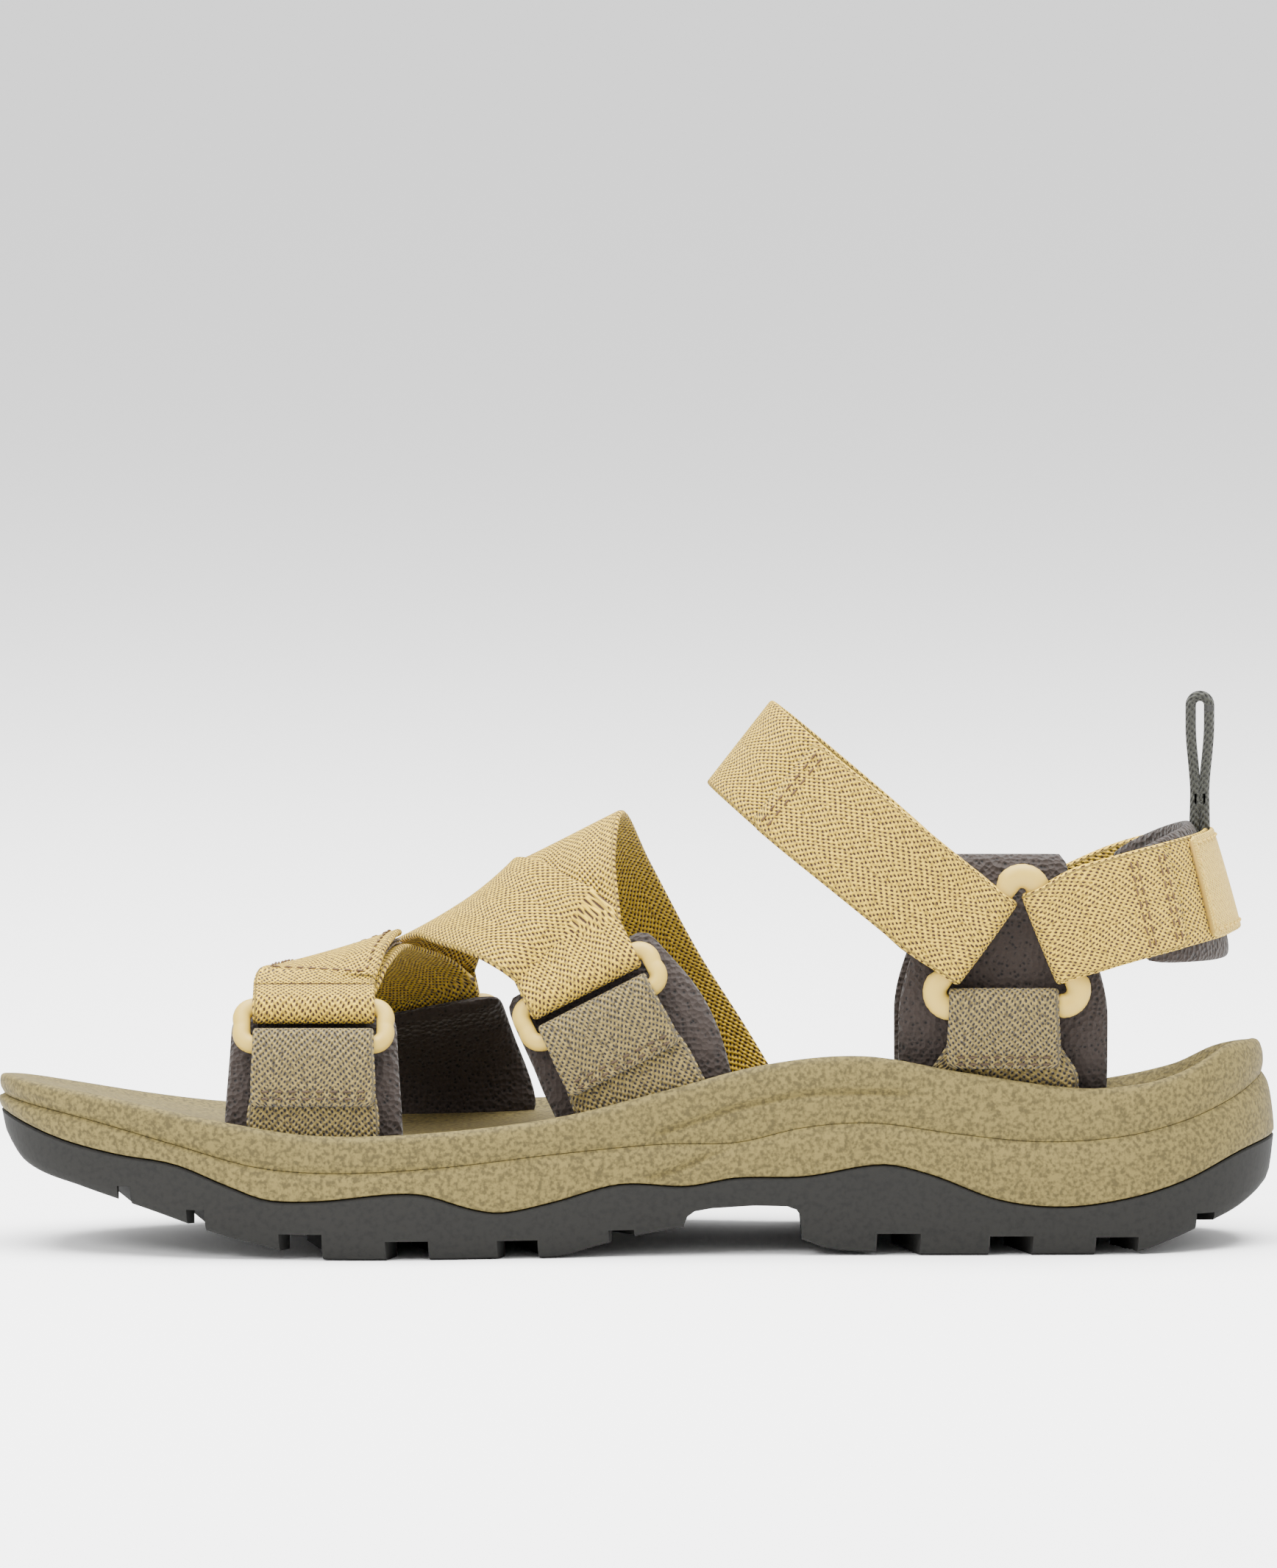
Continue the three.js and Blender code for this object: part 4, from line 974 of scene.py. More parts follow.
@dataclass
class Sole:
    """The sole: outline in plan, height curves and the three layers built from them."""

    length: float = 264.0
    toe_cap: float = 46.0
    heel_cap: float = 36.0
    heel_lean: float = 2.8
    steps: tuple[int, int, int] = (26, 84, 24)
    centre: Curve = field(default_factory=lambda: Curve(
        (-132, -8), (-108, -3), (-80, 0), (-52, 2), (-20, 3), (10, 3), (40, 2), (70, 0.5), (98, 0)))
    medial_half: Curve = field(default_factory=lambda: Curve(
        (-132, 38), (-108, 40), (-80, 45), (-52, 48.5), (-20, 45), (10, 41), (40, 38), (98, 34.5)))
    lateral_half: Curve = field(default_factory=lambda: Curve(
        (-132, 36), (-102, 37), (-78, 44), (-48, 47.3), (-20, 45.5), (10, 41), (40, 37), (98, 34)))
    rim_medial: Curve = field(default_factory=lambda: Curve(
        (-132, 36), (-110, 33), (-84, 28), (-66, 25.5), (-40, 26.2), (-16, 29), (5, 34), (26, 39.3),
        (46, 41), (66, 37.7), (90, 34.3), (104, 35.2), (112, 37.2), (118, 39.6), (124, 42.2), (132, 42.5)))
    rim_lateral: Curve = field(default_factory=lambda: Curve(
        (-132, 35.2), (-117, 31), (-101, 27.4), (-84, 24.8), (-60, 24.2), (-20, 25.2), (10, 26.5),
        (40, 28.5), (70, 29), (94, 30), (112, 33.8), (122, 38.4), (132, 41.5)))
    dish: Curve = field(default_factory=lambda: Curve(
        (-132, 0.4), (-100, 1.4), (-60, 2.4), (0, 3.5), (40, 5.5), (90, 6.5), (112, 8), (132, 8)))
    seam_medial: Curve = field(default_factory=lambda: Curve(
        (-132, 31.6), (-114, 28.3), (-95, 23.5), (-78, 19), (-62, 17.9), (-40, 19), (-16, 21.5), (5, 23.2),
        (20, 23.4), (34, 26.4), (48, 27.3), (64, 25.2), (82, 23.4), (98, 24.2), (112, 27.2), (124, 31.5),
        (132, 35.5)))
    seam_lateral: Curve = field(default_factory=lambda: Curve(
        (-132, 31.2), (-95, 22.3), (-62, 17.2), (-20, 17.8), (40, 20), (90, 21.5), (112, 26), (132, 35.5)))
    bed: Curve = field(default_factory=lambda: Curve(
        (-132, 29.5), (-110, 25), (-84, 18.5), (-60, 16), (-20, 16.5), (20, 17.5), (95, 18.5), (132, 26)))
    rubber_edge: Curve = field(default_factory=lambda: Curve(
        (-132, 28.5), (-119, 23.7), (-107, 21), (-95, 19.3), (-84, 15), (-76, 12.2), (-66, 12), (-46, 13.5),
        (-34, 10.2), (-28, 9.4), (-18, 11.3), (-4, 14.9), (10, 14.4), (20, 16), (34, 16.2), (50, 18.6),
        (60, 16.5), (74, 11.3), (87, 9.8), (100, 11.4), (112, 14.8), (124, 20.2), (132, 22.5)))
    tread_curve: Curve = field(default_factory=lambda: Curve(
        (-132, 24.4), (-126, 18), (-114, 14), (-100, 9.8), (-86, 5.2), (-76, 2.6), (-66, 0.3), (-60, 0),
        (-18, 0), (-9, 2.2), (0, 4.4), (10, 6), (20, 6), (33, 3.4), (39, 1.3), (50, 0.5), (60, 0),
        (95, 0), (103, 0.6), (110, 3), (118, 6.2), (124, 8.8), (132, 14)))
    floor: Curve = field(default_factory=lambda: Curve(
        (-132, 26.3), (-119, 20.6), (-100, 15), (-84, 10.5), (-66, 6.4), (-40, 5.6), (-18, 6), (0, 10),
        (15, 12.9), (34, 13), (48, 8.6), (64, 6), (90, 5.6), (104, 7.2), (116, 12.2), (126, 16.6), (132, 20)))
    bed_groove: Curve = field(default_factory=lambda: Curve(
        (1.8, 25), (7.9, 26.7), (14, 28.7), (20, 30.6), (26, 31.9), (32, 33.1), (38, 33.6), (50, 33.7),
        (60, 33)))
    mid_groove: Curve = field(default_factory=lambda: Curve(
        (0, 16.2), (3.3, 16.7), (7.9, 18.1), (14, 20.5), (22, 23.6)))

    def __post_init__(self) -> None:
        """Work out the outline and its outward directions."""
        toe, middle, heel = self.steps
        low, high = -self.length / 2, self.length / 2
        quarter = math.pi / 2
        xs = np.concatenate([
            low + self.toe_cap * (1 - np.cos(quarter * np.arange(toe) / toe)),
            np.linspace(low + self.toe_cap, high - self.heel_cap, middle + 1),
            high - self.heel_cap + self.heel_cap * np.sin(quarter * np.arange(1, heel + 1) / heel),
        ])
        lateral = np.stack([xs, self.centre(xs) + self.lateral_half(xs) * self.cap(xs)], 1)
        medial = np.stack([xs, self.centre(xs) - self.medial_half(xs) * self.cap(xs)], 1)[1:-1][::-1]
        self.outline = np.vstack([lateral, medial])
        along = unit(np.roll(self.outline, -1, 0) - np.roll(self.outline, 1, 0))
        self.outwards = np.stack([-along[:, 1], along[:, 0]], 1)
        spine_x = mix(low + 34, high - 30, (self.outline[:, 0] - low) / self.length)
        self.spine = np.stack([spine_x, self.centre(spine_x)], 1)

    def cap(self, x: Array) -> Array:
        """Return how far the outline has closed in at x: 1 along the middle, 0 at each tip."""
        past = np.maximum((-self.length / 2 + self.toe_cap - x) / self.toe_cap,
                          (x - self.length / 2 + self.heel_cap) / self.heel_cap)
        return np.sqrt(np.clip(1 - np.clip(past, 0, 1) ** 2, 0, 1))

    def sided(self, medial: Curve, lateral: Curve) -> HeightFunction:
        """Return a height that passes from the medial curve to the lateral one across the plan."""
        def height(p: Array) -> Array:
            """Return the heights at points of the plan."""
            share = np.maximum(self.cap(p[:, 0]), 0.05)
            low = self.centre(p[:, 0]) - self.medial_half(p[:, 0]) * share
            high = self.centre(p[:, 0]) + self.lateral_half(p[:, 0]) * share
            return mix(medial(p[:, 0]), lateral(p[:, 0]), smooth((p[:, 1] - low) / (high - low)))

        return height

    def rim(self, p: Array) -> Array:
        """Return the rim's height over points of the plan."""
        return self.sided(self.rim_medial, self.rim_lateral)(p)

    def seam(self, p: Array) -> Array:
        """Return the height of the seam between footbed and midsole over points of the plan."""
        return self.sided(self.seam_medial, self.seam_lateral)(p)

    def tread(self, p: Array) -> Array:
        """Return the tread's height over points of the plan."""
        return np.maximum(self.tread_curve(p[:, 0]), 0)

    def ring(self, inset: float, inwards: float, height: HeightFunction) -> Array:
        """Return the outline pulled in by `inset`, then a share of the way to the spine, at a height."""
        plan = self.outline - self.outwards * inset
        plan = plan + (self.spine - plan) * inwards
        return np.column_stack([plan, height(plan)])

    def _wall_rings(self, height: Callable[[float], HeightFunction],
                    *rows: tuple[float, float]) -> list[Array]:
        """Return one ring for each (inset, value), its height being what `height` makes of the value."""
        return [self.ring(inset, 0, height(value)) for inset, value in rows]

    def _groove(self, rows: Array, line: Curve, side: Side, depth: float, half_width: float) -> Array:
        """Return wall rings pressed in along a moulded groove that fades out at both ends.

        Args:
            rows: Rings of the wall.
            line: Height of the groove over x.
            side: Side that the groove is on.
            depth: Depth in millimetres.
            half_width: Half width in millimetres.

        Returns:
            The rings, changed near the groove.
        """
        rows = rows.copy()
        x, z = rows[..., 0], rows[..., 2]
        reach = np.where(np.sign(rows[..., 1] - self.centre(x)) == side.value, 1.0, 0.0)
        ends = smooth((x - line.x[0]) / 4) * smooth((line.x[-1] - x) / 9)
        press = depth * np.exp(-(((z - line(x)) / half_width) ** 2)) * ends * reach
        rows[..., :2] -= self.outwards[None] * press[..., None]
        return rows

    def _leant(self, rows: Array) -> Array:
        """Return rings whose back edge leans forward above the rubber, most at the top."""
        rows = rows.copy()
        behind = smooth((rows[..., 0] - 100) / 32)
        above = np.clip((rows[..., 2] - 23) / 17, 0, 1.1)
        rows[..., 0] -= self.heel_lean * behind * above
        return rows

    def footbed(self) -> bpy.types.Object:
        """Return the footbed: a dished foam bed with a raised, rounded rim."""
        rim, seam = self.rim, self.seam

        def bowl(share: float) -> HeightFunction:
            """Return the height of the dished top, a share of the dish's depth below the rim."""
            return lambda p: rim(p) - self.dish(p[:, 0]) * share

        def under(p: Array) -> Array:
            """Return the height of the hidden underside."""
            return self.bed(p[:, 0]) + GAP

        def wall(share: float) -> HeightFunction:
            """Return the height a share of the way up the wall."""
            return lambda p: mix(seam(p) + GAP, rim(p), share)

        bottom = [
            self.ring(9, 1, under), self.ring(9, 0.35, under),
            self.ring(9, 0, lambda p: mix(seam(p), self.bed(p[:, 0]), 0.7) + GAP),
            self.ring(2.4, 0, lambda p: seam(p) + GAP), self.ring(1.5, 0, lambda p: seam(p) + 0.04),
        ]
        side = [
            self.ring(0.95, 0, lambda p: seam(p) + FOAM_CHAMFER),
            *self._wall_rings(wall, (0.6, 0.07), (0.25, 0.2), (0.08, 0.34), (0, 0.5), (0.1, 0.68),
                              (0.35, 0.84), (0.9, 0.95), (1.9, 1)),
            *self._wall_rings(bowl, (3.0, 0.05), (4.4, 0.18), (6.4, 0.42), (8.6, 0.6)),
        ]
        middle = [self.ring(8.6, t, bowl(0.6 + 0.4 * smooth(t / 0.5)))
                  for t in (0.08, 0.18, 0.3, 0.45, 0.62, 0.8, 1)]
        walls = self._groove(catmull_rings(np.array(side), 5), self.bed_groove, Side.MEDIAL, 1.1, 0.8)
        walls = self._groove(walls, self.bed_groove, Side.LATERAL, 0.7, 0.8)
        obj = skin("footbed_shell", self._leant(np.concatenate([np.array(bottom), walls, np.array(middle)])))
        weld(obj)
        return obj

    def midsole(self) -> bpy.types.Object:
        """Return the midsole: foam whose wall swells below the seam and over the rubber's wavy edge."""
        seam = self.seam

        def lip(drop: float) -> HeightFunction:
            """Return the rubber edge's height less a drop."""
            return lambda p: self.rubber_edge(p[:, 0]) + GAP - drop

        def wall(share: float) -> HeightFunction:
            """Return the height a share of the way up the wall."""
            return lambda p: mix(self.rubber_edge(p[:, 0]) + GAP, seam(p) - 0.2, share)

        top = [
            *[self.ring(9, t, lambda p: self.bed(p[:, 0])) for t in (1, 0.35)],
            self.ring(9, 0, lambda p: mix(seam(p), self.bed(p[:, 0]), 0.7)),
            self.ring(2.4, 0, seam), self.ring(1.5, 0, lambda p: seam(p) - 0.04),
        ]
        side = [
            self.ring(0.95, 0, lambda p: seam(p) - FOAM_CHAMFER),
            *self._wall_rings(wall, (0.5, 0.93), (0.05, 0.82), (-0.15, 0.7), (-0.2, 0.6), (-0.15, 0.4),
                              (0, 0.2), (0.2, 0.05)),
            self.ring(0.5, 0, lip(0)),
        ]
        bottom = [*self._wall_rings(lip, (1.9, 0), (2.6, 2)),
                  *[self.ring(8, t, lambda p: self.floor(p[:, 0]) + GAP) for t in (0, 0.5, 1)]]
        walls = self._groove(catmull_rings(np.array(side), 5), self.mid_groove, Side.MEDIAL, 1.1, 0.8)
        obj = skin("midsole_shell", self._leant(np.concatenate([np.array(top), walls, np.array(bottom)])))
        weld(obj)
        return obj

    def outsole(self) -> bpy.types.Object:
        """Return the outsole: a rubber cup with its arch hollow and zigzag channels cut out."""
        def lip(drop: float) -> HeightFunction:
            """Return the rubber edge's height less a drop."""
            return lambda p: self.rubber_edge(p[:, 0]) - drop

        def wall(share: float) -> HeightFunction:
            """Return the height a share of the way up the wall."""
            return lambda p: mix(self.tread(p), self.rubber_edge(p[:, 0]), share)

        rings = [
            *[self.ring(2.6, t, self.tread) for t in (1, 0.75, 0.5, 0.25, 0)],
            self.ring(1.8, 0, lambda p: self.tread(p) + 0.5),
            *self._wall_rings(wall, (1.2, 0.2), (0.8, 0.5), (0.5, 0.8)),
            *self._wall_rings(lip, (0.35, 0.5), (0.7, 0.05), (1.9, 0), (2.6, 2)),
            *[self.ring(8, t, lambda p: self.floor(p[:, 0])) for t in (0, 0.5, 1)],
        ]
        obj = skin("outsole_tread", np.array(rings))
        weld(obj)
        cut(obj, self._cutters())
        weld(obj)
        obj.data.set_sharp_from_angle(angle=math.radians(40))
        return obj

    def _prism(self, plan: Sequence[tuple[float, float]], low: float, high: float) -> bpy.types.Object:
        """Return a cutter standing on a plan polygon between two heights."""
        plan_rows = np.array(plan)
        rings = np.array([np.column_stack([plan_rows, np.full(len(plan), z)]) for z in (low, high)])
        return skin("cutter", rings, caps=True)

    def _cutters(self) -> list[bpy.types.Object]:
        """Return the cutters of the tread: cross channels, lengthwise channels and the arch hollow."""
        channels = ((-108, 3, 2.4), (-92, 4, 3), (-70, 9, 4.2), (-48.2, 8.6, 4), (-26.4, 8, 4), (-6, 5, 2.6),
                    (50.8, 9, 4), (74, 9, 4), (96, 9, 3.6), (116, 4.5, 2.6))
        made = []
        for x, width, depth in channels:
            line = [(x + (3 if i % 2 else -3), y) for i, y in enumerate((-60, -36, -12, 12, 36, 60))]
            plan = [(px - width / 2, y) for px, y in line] + [(px + width / 2, y) for px, y in line[::-1]]
            made.append(self._prism(plan, -3, float(self.tread_curve(np.array(x))) + depth))
        for low, high, steps in ((-62, -14, 6), (58, 100, 5)):
            xs = np.linspace(low, high, steps + 1)
            line = [(x, float(self.centre(x)) + (3 if i % 2 else -3)) for i, x in enumerate(xs)]
            plan = [(x, y - 2.5) for x, y in line] + [(x, y + 2.5) for x, y in line[::-1]]
            top = min(float(self.tread_curve(low)), float(self.tread_curve(high))) + 4
            made.append(self._prism(plan, -3, top))
        profile = np.array([(9.3, -3), (9.3, 6.4), (10, 8.2), (11.5, 9.3), (15, 9.9), (24, 10.4),
                            (30.5, 10.2), (32.4, 9.5), (33.3, 8.2), (33.8, -3)])
        sides = np.array([np.column_stack([profile[:, 0], np.full(len(profile), y), profile[:, 1]])
                          for y in (-65, 65)])
        made.append(skin("cutter", sides, caps=True))
        return made

    def build(self, wardrobe: Wardrobe) -> None:
        """Build and dress the sole's layers."""
        wardrobe.dress(self.footbed(), "foam", Body.SANDAL, "footbed")
        wardrobe.dress(self.midsole(), "foam", Body.SANDAL, "midsole")
        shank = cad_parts["arch_shank"]
        shank.data.materials.clear()
        shank.data.materials.append(wardrobe.materials["shank"])
        wardrobe.dress(self.outsole(), "rubber", Body.SANDAL, "outsole")


def catmull_rings(rings: Array, steps: int) -> Array:
    """Return rings joined by a Catmull-Rom profile, `steps` for each gap between given rings."""
    flat = rings.reshape(len(rings), -1)
    return catmull(flat, steps).reshape(-1, *rings.shape[1:])


# ------------------------------------------------------------------ moorings


FRONT_CORNERS = ((-14.5, -4.0), (14.5, -4.0), (14.5, 4.0), (-14.5, 4.0))
ANKLE_CORNERS = ((-17.0, -9.3), (14.8, -8.6), (3.2, 19.3))


def halfway(corners: Sequence[tuple[float, float]], i: int, j: int) -> tuple[float, float]:
    """Return the middle of the bar between two corners of a ring."""
    return ((corners[i][0] + corners[j][0]) / 2, (corners[i][1] + corners[j][1]) / 2)


@dataclass
class Pad:
    """Sizes of a lining pad: top past the bar, where and how fast it leans inwards, waist and widths."""

    top: float
    lean_from: float
    rate: float
    waist: float
    widths: tuple[float, float]
    forward: float = 0.0


@dataclass
class Mooring:
    """A webbing tab let into the sole, the ring it holds and the lining pad behind them."""

    name: str
    ring: Ring
    bow: float
    reach: float
    tab: tuple[float, float]
    hem: float
    pad: Pad

    def bar(self) -> Bar:
        """Return the frame of the ring's lower bar, the webbing leaving down into the sole."""
        lower = (0.0, -4.0) if len(self.ring.corners) == 4 else halfway(self.ring.corners, 0, 1)
        return self.ring.bar(lower, -90, self.bow)

    def _side(self, bar: Bar, sign: int, runs: Array) -> Array:
        """Return the stations of one layer of the tab, the outer one pressed to the inner at its hem."""
        rows = bar.leg(sign, runs, DOUBLED)
        rows[:, 6] = mix(self.tab[0], self.tab[1], smooth((runs - 7) / 9))
        if sign > 0:
            rows[:, 6] = mix(self.tab[0], self.tab[0] + 0.8, smooth(runs / 9))
            puff = 0.55 * np.sin(math.pi * np.clip(runs / self.hem, 0, 1)) ** 2
            rows[:, :3] += bar.n * puff[:, None]
        return rows

    def build(self, wardrobe: Wardrobe) -> None:
        """Build and dress the ring, the tab with its hem, and the pad."""
        bar = self.bar()
        wardrobe.dress(self.ring.build(), "ring", Body.SANDAL, f"{self.name}_ring")
        inside = np.concatenate([np.linspace(self.reach, SEAT, 12), IN[1:]])
        outside = np.concatenate([OUT[:-1], np.linspace(SEAT, self.hem + 1.6, 6)])
        rows = [self._side(bar, -1, inside), bar.bend(self.tab[0]), self._side(bar, 1, outside)]
        band = Band(np.vstack(rows))
        wardrobe.dress(band.build(f"{self.name}_tab_webbing", round_ends=(0, 0.8)), "tab", Body.SANDAL,
                       f"{self.name}_tab")
        outer = Band(self._side(bar, 1, outside))
        seams = Stitches(outer, WEBBING_THICK / 2 + 0.14, bar.n)
        width = self.tab[0] / 2 - 1.2
        for run in (self.hem - 1.9, self.hem - 0.4):
            seams.row((run, -width), (run, width))
        wardrobe.dress(seams.build(f"{self.name}_tab_stitches"), "tab_thread", Body.SANDAL)
        self._pad(bar, wardrobe)

    def _pad(self, bar: Bar, wardrobe: Wardrobe) -> None:
        """Build and dress the pad, which leans inwards above the ring."""
        size = self.pad
        b = np.linspace(self.reach, -size.top, 34)
        share = (self.reach - b) / (self.reach + size.top)
        past = np.clip(-b - size.lean_from, 0, None)
        widths = mix(size.widths[0], size.widths[1], smooth((share - size.waist) / (1 - size.waist)))
        ahead = size.forward * np.sin(math.pi * np.clip(share, 0, 1)) ** 2
        rows = [[*bar.at(-ai, bi, -PAD_CENTRE - size.rate * pi**2), *bar.u, wi + 2 * abs(ai)]
                for ai, bi, pi, wi in zip(ahead, b, past, widths)]
        pad = Band(np.array(rows)).pillow(f"{self.name}_pad_lining", PAD_THICK)
        wardrobe.dress(pad, "lining", Body.SANDAL, f"{self.name}_pad")


# ------------------------------------------------------------------ front straps


MEDIAL_FRONT = Ring("medial_front_ring_bar", vec(-66.6, -34.2, 47.2), 0, 30, -1, FRONT_CORNERS, 2.4)
MEDIAL_MID = Ring("medial_mid_ring_bar", vec(-10, -29.8, 52.9), 27, 20, -1, FRONT_CORNERS, 2.4)
LATERAL_FRONT = Ring("lateral_front_ring_bar", vec(-44.5, 38.6, 40), 11, 25, 1, FRONT_CORNERS, 2.4)
MEDIAL_ANKLE = Ring("medial_ankle_ring_bar", vec(76, -32.5, 60.6), 0, 0, -1, ANKLE_CORNERS, 2.6, 1.0, 5.0)
LATERAL_ANKLE = Ring("lateral_ankle_ring_bar", vec(76, 32.5, 56), 0, 0, 1, ANKLE_CORNERS, 2.6, 1.0, 5.0)


@dataclass
class FrontStraps:
    """The one run of webbing over the instep and the forefoot, and its peel-open loose end."""

    upper: tuple[float, float] = (0.0, 4.0)
    side_lean: float = 28.0
    toe_lean: float = 34.0
    core: Array = field(default_factory=lambda: vec(-58, 0, 0))
    anchor: tuple = ((19.5, 38.3, 21.5, 31), (12, 39.2, 34, 31), (2, 36.5, 50, 30.5), (-8.5, 24, 70.5, 29),
                     (-14.2, 0, 83, 27), (-16.4, -15, 76.4, 27))
    back_over: tuple = ((-20.6, -24.6, 67, 42, 14), (-27, -18.6, 70, 52, 20), (-32.6, -9, 70.8, 46, 12),
                        (-36.2, 2, 69.4, 34), (-42.5, 23, 61.5, 24))
    toe_over: tuple = ((-51.5, 20, 52.6, 16), (-59.6, 0, 56.8, 18), (-63.4, -14, 56, 12))

    def build(self, wardrobe: Wardrobe) -> None:
        """Build and dress the straps, the flap, its tapes and the stitches."""
        mid = MEDIAL_MID.bar(self.upper, 90)
        side = LATERAL_FRONT.bar(self.upper, 90)
        mid_in, mid_out = mid.leg(-1, IN, DOUBLED), mid.leg(1, OUT, DOUBLED)
        side_out = side.leg(1, IN, DOUBLED)
        instep = Band(np.vstack([
            route(self.anchor, end=mid_in[0]), mid_in, mid.bend(WEBBING_WIDTH), mid_out,
            route(self.back_over, start=mid_out[-1], end=side_out[0]), side_out,
            side.bend(WEBBING_WIDTH)[::-1][:8],
        ]))
        wardrobe.dress(instep.build("instep_webbing"), "webbing", Body.SANDAL, "instep_strap")
        toe = side.leaned(self.side_lean)
        bar = MEDIAL_FRONT.bar(self.upper, 90).leaned(self.toe_lean)
        toe_from = toe.leg(-1, OUT, DOUBLED)
        toe_to = bar.leg(-1, IN, CLOSURE / 2)
        run = route(self.toe_over, start=toe_from[-1], end=toe_to[0], per_span=12)
        under = side.bend(WEBBING_WIDTH, self.side_lean - 90, 90)[:7][::-1]
        strap = Band(np.vstack([under, toe_from, run, toe_to, bar.bend(WEBBING_WIDTH),
                                bar.leg(1, FOLD, CLOSURE / 2)]))
        wardrobe.dress(strap.build("toe_webbing"), "webbing", Body.SANDAL, "toe_strap")
        first = int(np.argmax(run[:, 1] < 4))
        base = Band(np.vstack([run, toe_to[:1]])).part(slice(first, len(run)))
        top = base.lifted(self.core, CLOSURE)
        flap = Band(np.vstack([top.rows(), bar.leg(1, PEEL, CLOSURE / 2)]))
        wardrobe.dress(flap.build("toe_flap_webbing", round_ends=(3, 0)), "webbing", Body.TOE, "toe_flap")
        closure_tapes("toe", base, self.core, TAPE_WIDTH, Body.TOE, wardrobe)
        self._stitch(wardrobe, flap)

    def _stitch(self, wardrobe: Wardrobe, flap: Band) -> None:
        """Sew the flap's tape on with a row along each of its edges."""
        seams = Stitches(flap, WEBBING_THICK / 2 + 0.2, vec(0, 0, 1))
        seams.border(2.2, flap.run[-1] - 7, TAPE_WIDTH / 2 - 0.8)
        wardrobe.dress(seams.build("toe_flap_stitches"), "thread", Body.TOE)


# ------------------------------------------------------------------ ankle and heel


@dataclass
class Sling:
    """A strap from the medial ankle ring round to the lateral one, closed by a peel-open loose end."""

    name: str
    body: Body
    corner: int
    medial_angle: float
    lateral_angle: float
    core: Array
    at_bar: float
    doubled: int
    closed: int
    points: tuple
    seams: tuple[float, ...]

    def spot(self) -> tuple[float, float]:
        """Return the middle of the ring's bar that the strap turns round."""
        return halfway(ANKLE_CORNERS, self.corner, 2)

    def build(self, wardrobe: Wardrobe) -> Band:
        """Build and dress the strap, its flap, its tapes and the stitches, and return the strap's band."""
        medial = MEDIAL_ANKLE.bar(self.spot(), self.medial_angle)
        lateral = LATERAL_ANKLE.bar(self.spot(), self.lateral_angle)
        medial_in = medial.leg(-1, OUT, DOUBLED, SLING_WIDTH, self.at_bar)
        lateral_in = lateral.leg(-1, IN, CLOSURE / 2, SLING_WIDTH, self.at_bar)
        run = route(self.points, medial_in[-1], lateral_in[0], SLING_WIDTH)
        inner = Band(np.vstack([medial_in[-1:], run, lateral_in[:1]]))
        back_count = self.doubled * PER_SPAN // 3
        back = inner.part(slice(1, back_count + 1)).lifted(self.core, 2 * DOUBLED)
        strap = Band(np.vstack([
            back.rows()[::-1], medial.leg(1, IN, DOUBLED, SLING_WIDTH, self.at_bar),
            medial.bend(self.at_bar)[::-1], medial_in, run, lateral_in, lateral.bend(self.at_bar),
            lateral.leg(1, FOLD, CLOSURE / 2, SLING_WIDTH, self.at_bar),
        ]))
        piece = strap.build(f"{self.name}_webbing", round_ends=(1, 0))
        wardrobe.dress(piece, "webbing", Body.SANDAL, f"{self.name}_strap")
        base = inner.part(slice(len(run) + 1 - self.closed * PER_SPAN // 3, len(run) + 1))
        start = lateral.leg(1, PEEL, CLOSURE / 2, SLING_WIDTH, self.at_bar)
        flap = Band(np.vstack([base.lifted(self.core, CLOSURE).rows(), start]))
        piece = flap.build(f"{self.name}_flap_webbing", round_ends=(4, 0))
        wardrobe.dress(piece, "webbing", self.body, f"{self.name}_flap")
        tape = base.part(slice(0, len(base.p) - 3))
        closure_tapes(self.name, tape, self.core, TAPE_WIDTH - 3, self.body, wardrobe)
        self._stitch(wardrobe, back, flap)
        return inner

    def _stitch(self, wardrobe: Wardrobe, back: Band, flap: Band) -> None:
        """Sew the doubled end down with rows across it, and the flap's tape round its edge."""
        face = WEBBING_THICK / 2 + 0.16
        rows = Stitches(back, face, back.p[0] - self.core)
        across = SLING_WIDTH / 2 - 1.5
        for place in self.seams:
            run = back.run[-1] - place
            rows.row((run, -across), (run, across))
        wardrobe.dress(rows.build(f"{self.name}_stitches"), "thread", Body.SANDAL)
        rows = Stitches(flap, face, flap.p[0] - self.core).border(2.5, flap.run[-1] - 9, across)
        wardrobe.dress(rows.build(f"{self.name}_flap_stitches"), "pale_thread", self.body)


@dataclass
class HeelBand:
    """The smooth band sewn over the back of the heel strap."""

    strap: Sling
    lift: float = 1.35
    thick: float = 1.0
    ends: tuple[float, float] = (1.35, 4.6)

    def build(self, wardrobe: Wardrobe) -> None:
        """Build and dress the band and the rows that hold its edges."""
        first, last = (int(end * PER_SPAN) for end in self.ends)
        run = Band(route(self.strap.points))
        over = run.part(slice(first, last)).lifted(self.strap.core, self.lift, SLING_WIDTH - 0.6)
        wardrobe.dress(over.build("heel_band_tape", self.thick, (0.8, 0.8)), "tape", Body.SANDAL)
        rows = Stitches(over, self.thick / 2 + 0.16, over.p[0] - self.strap.core)
        rows.border(1.2, over.run[-1] - 1.2, SLING_WIDTH / 2 - 1.8)
        wardrobe.dress(rows.build("heel_band_stitches"), "pale_thread", Body.SANDAL)


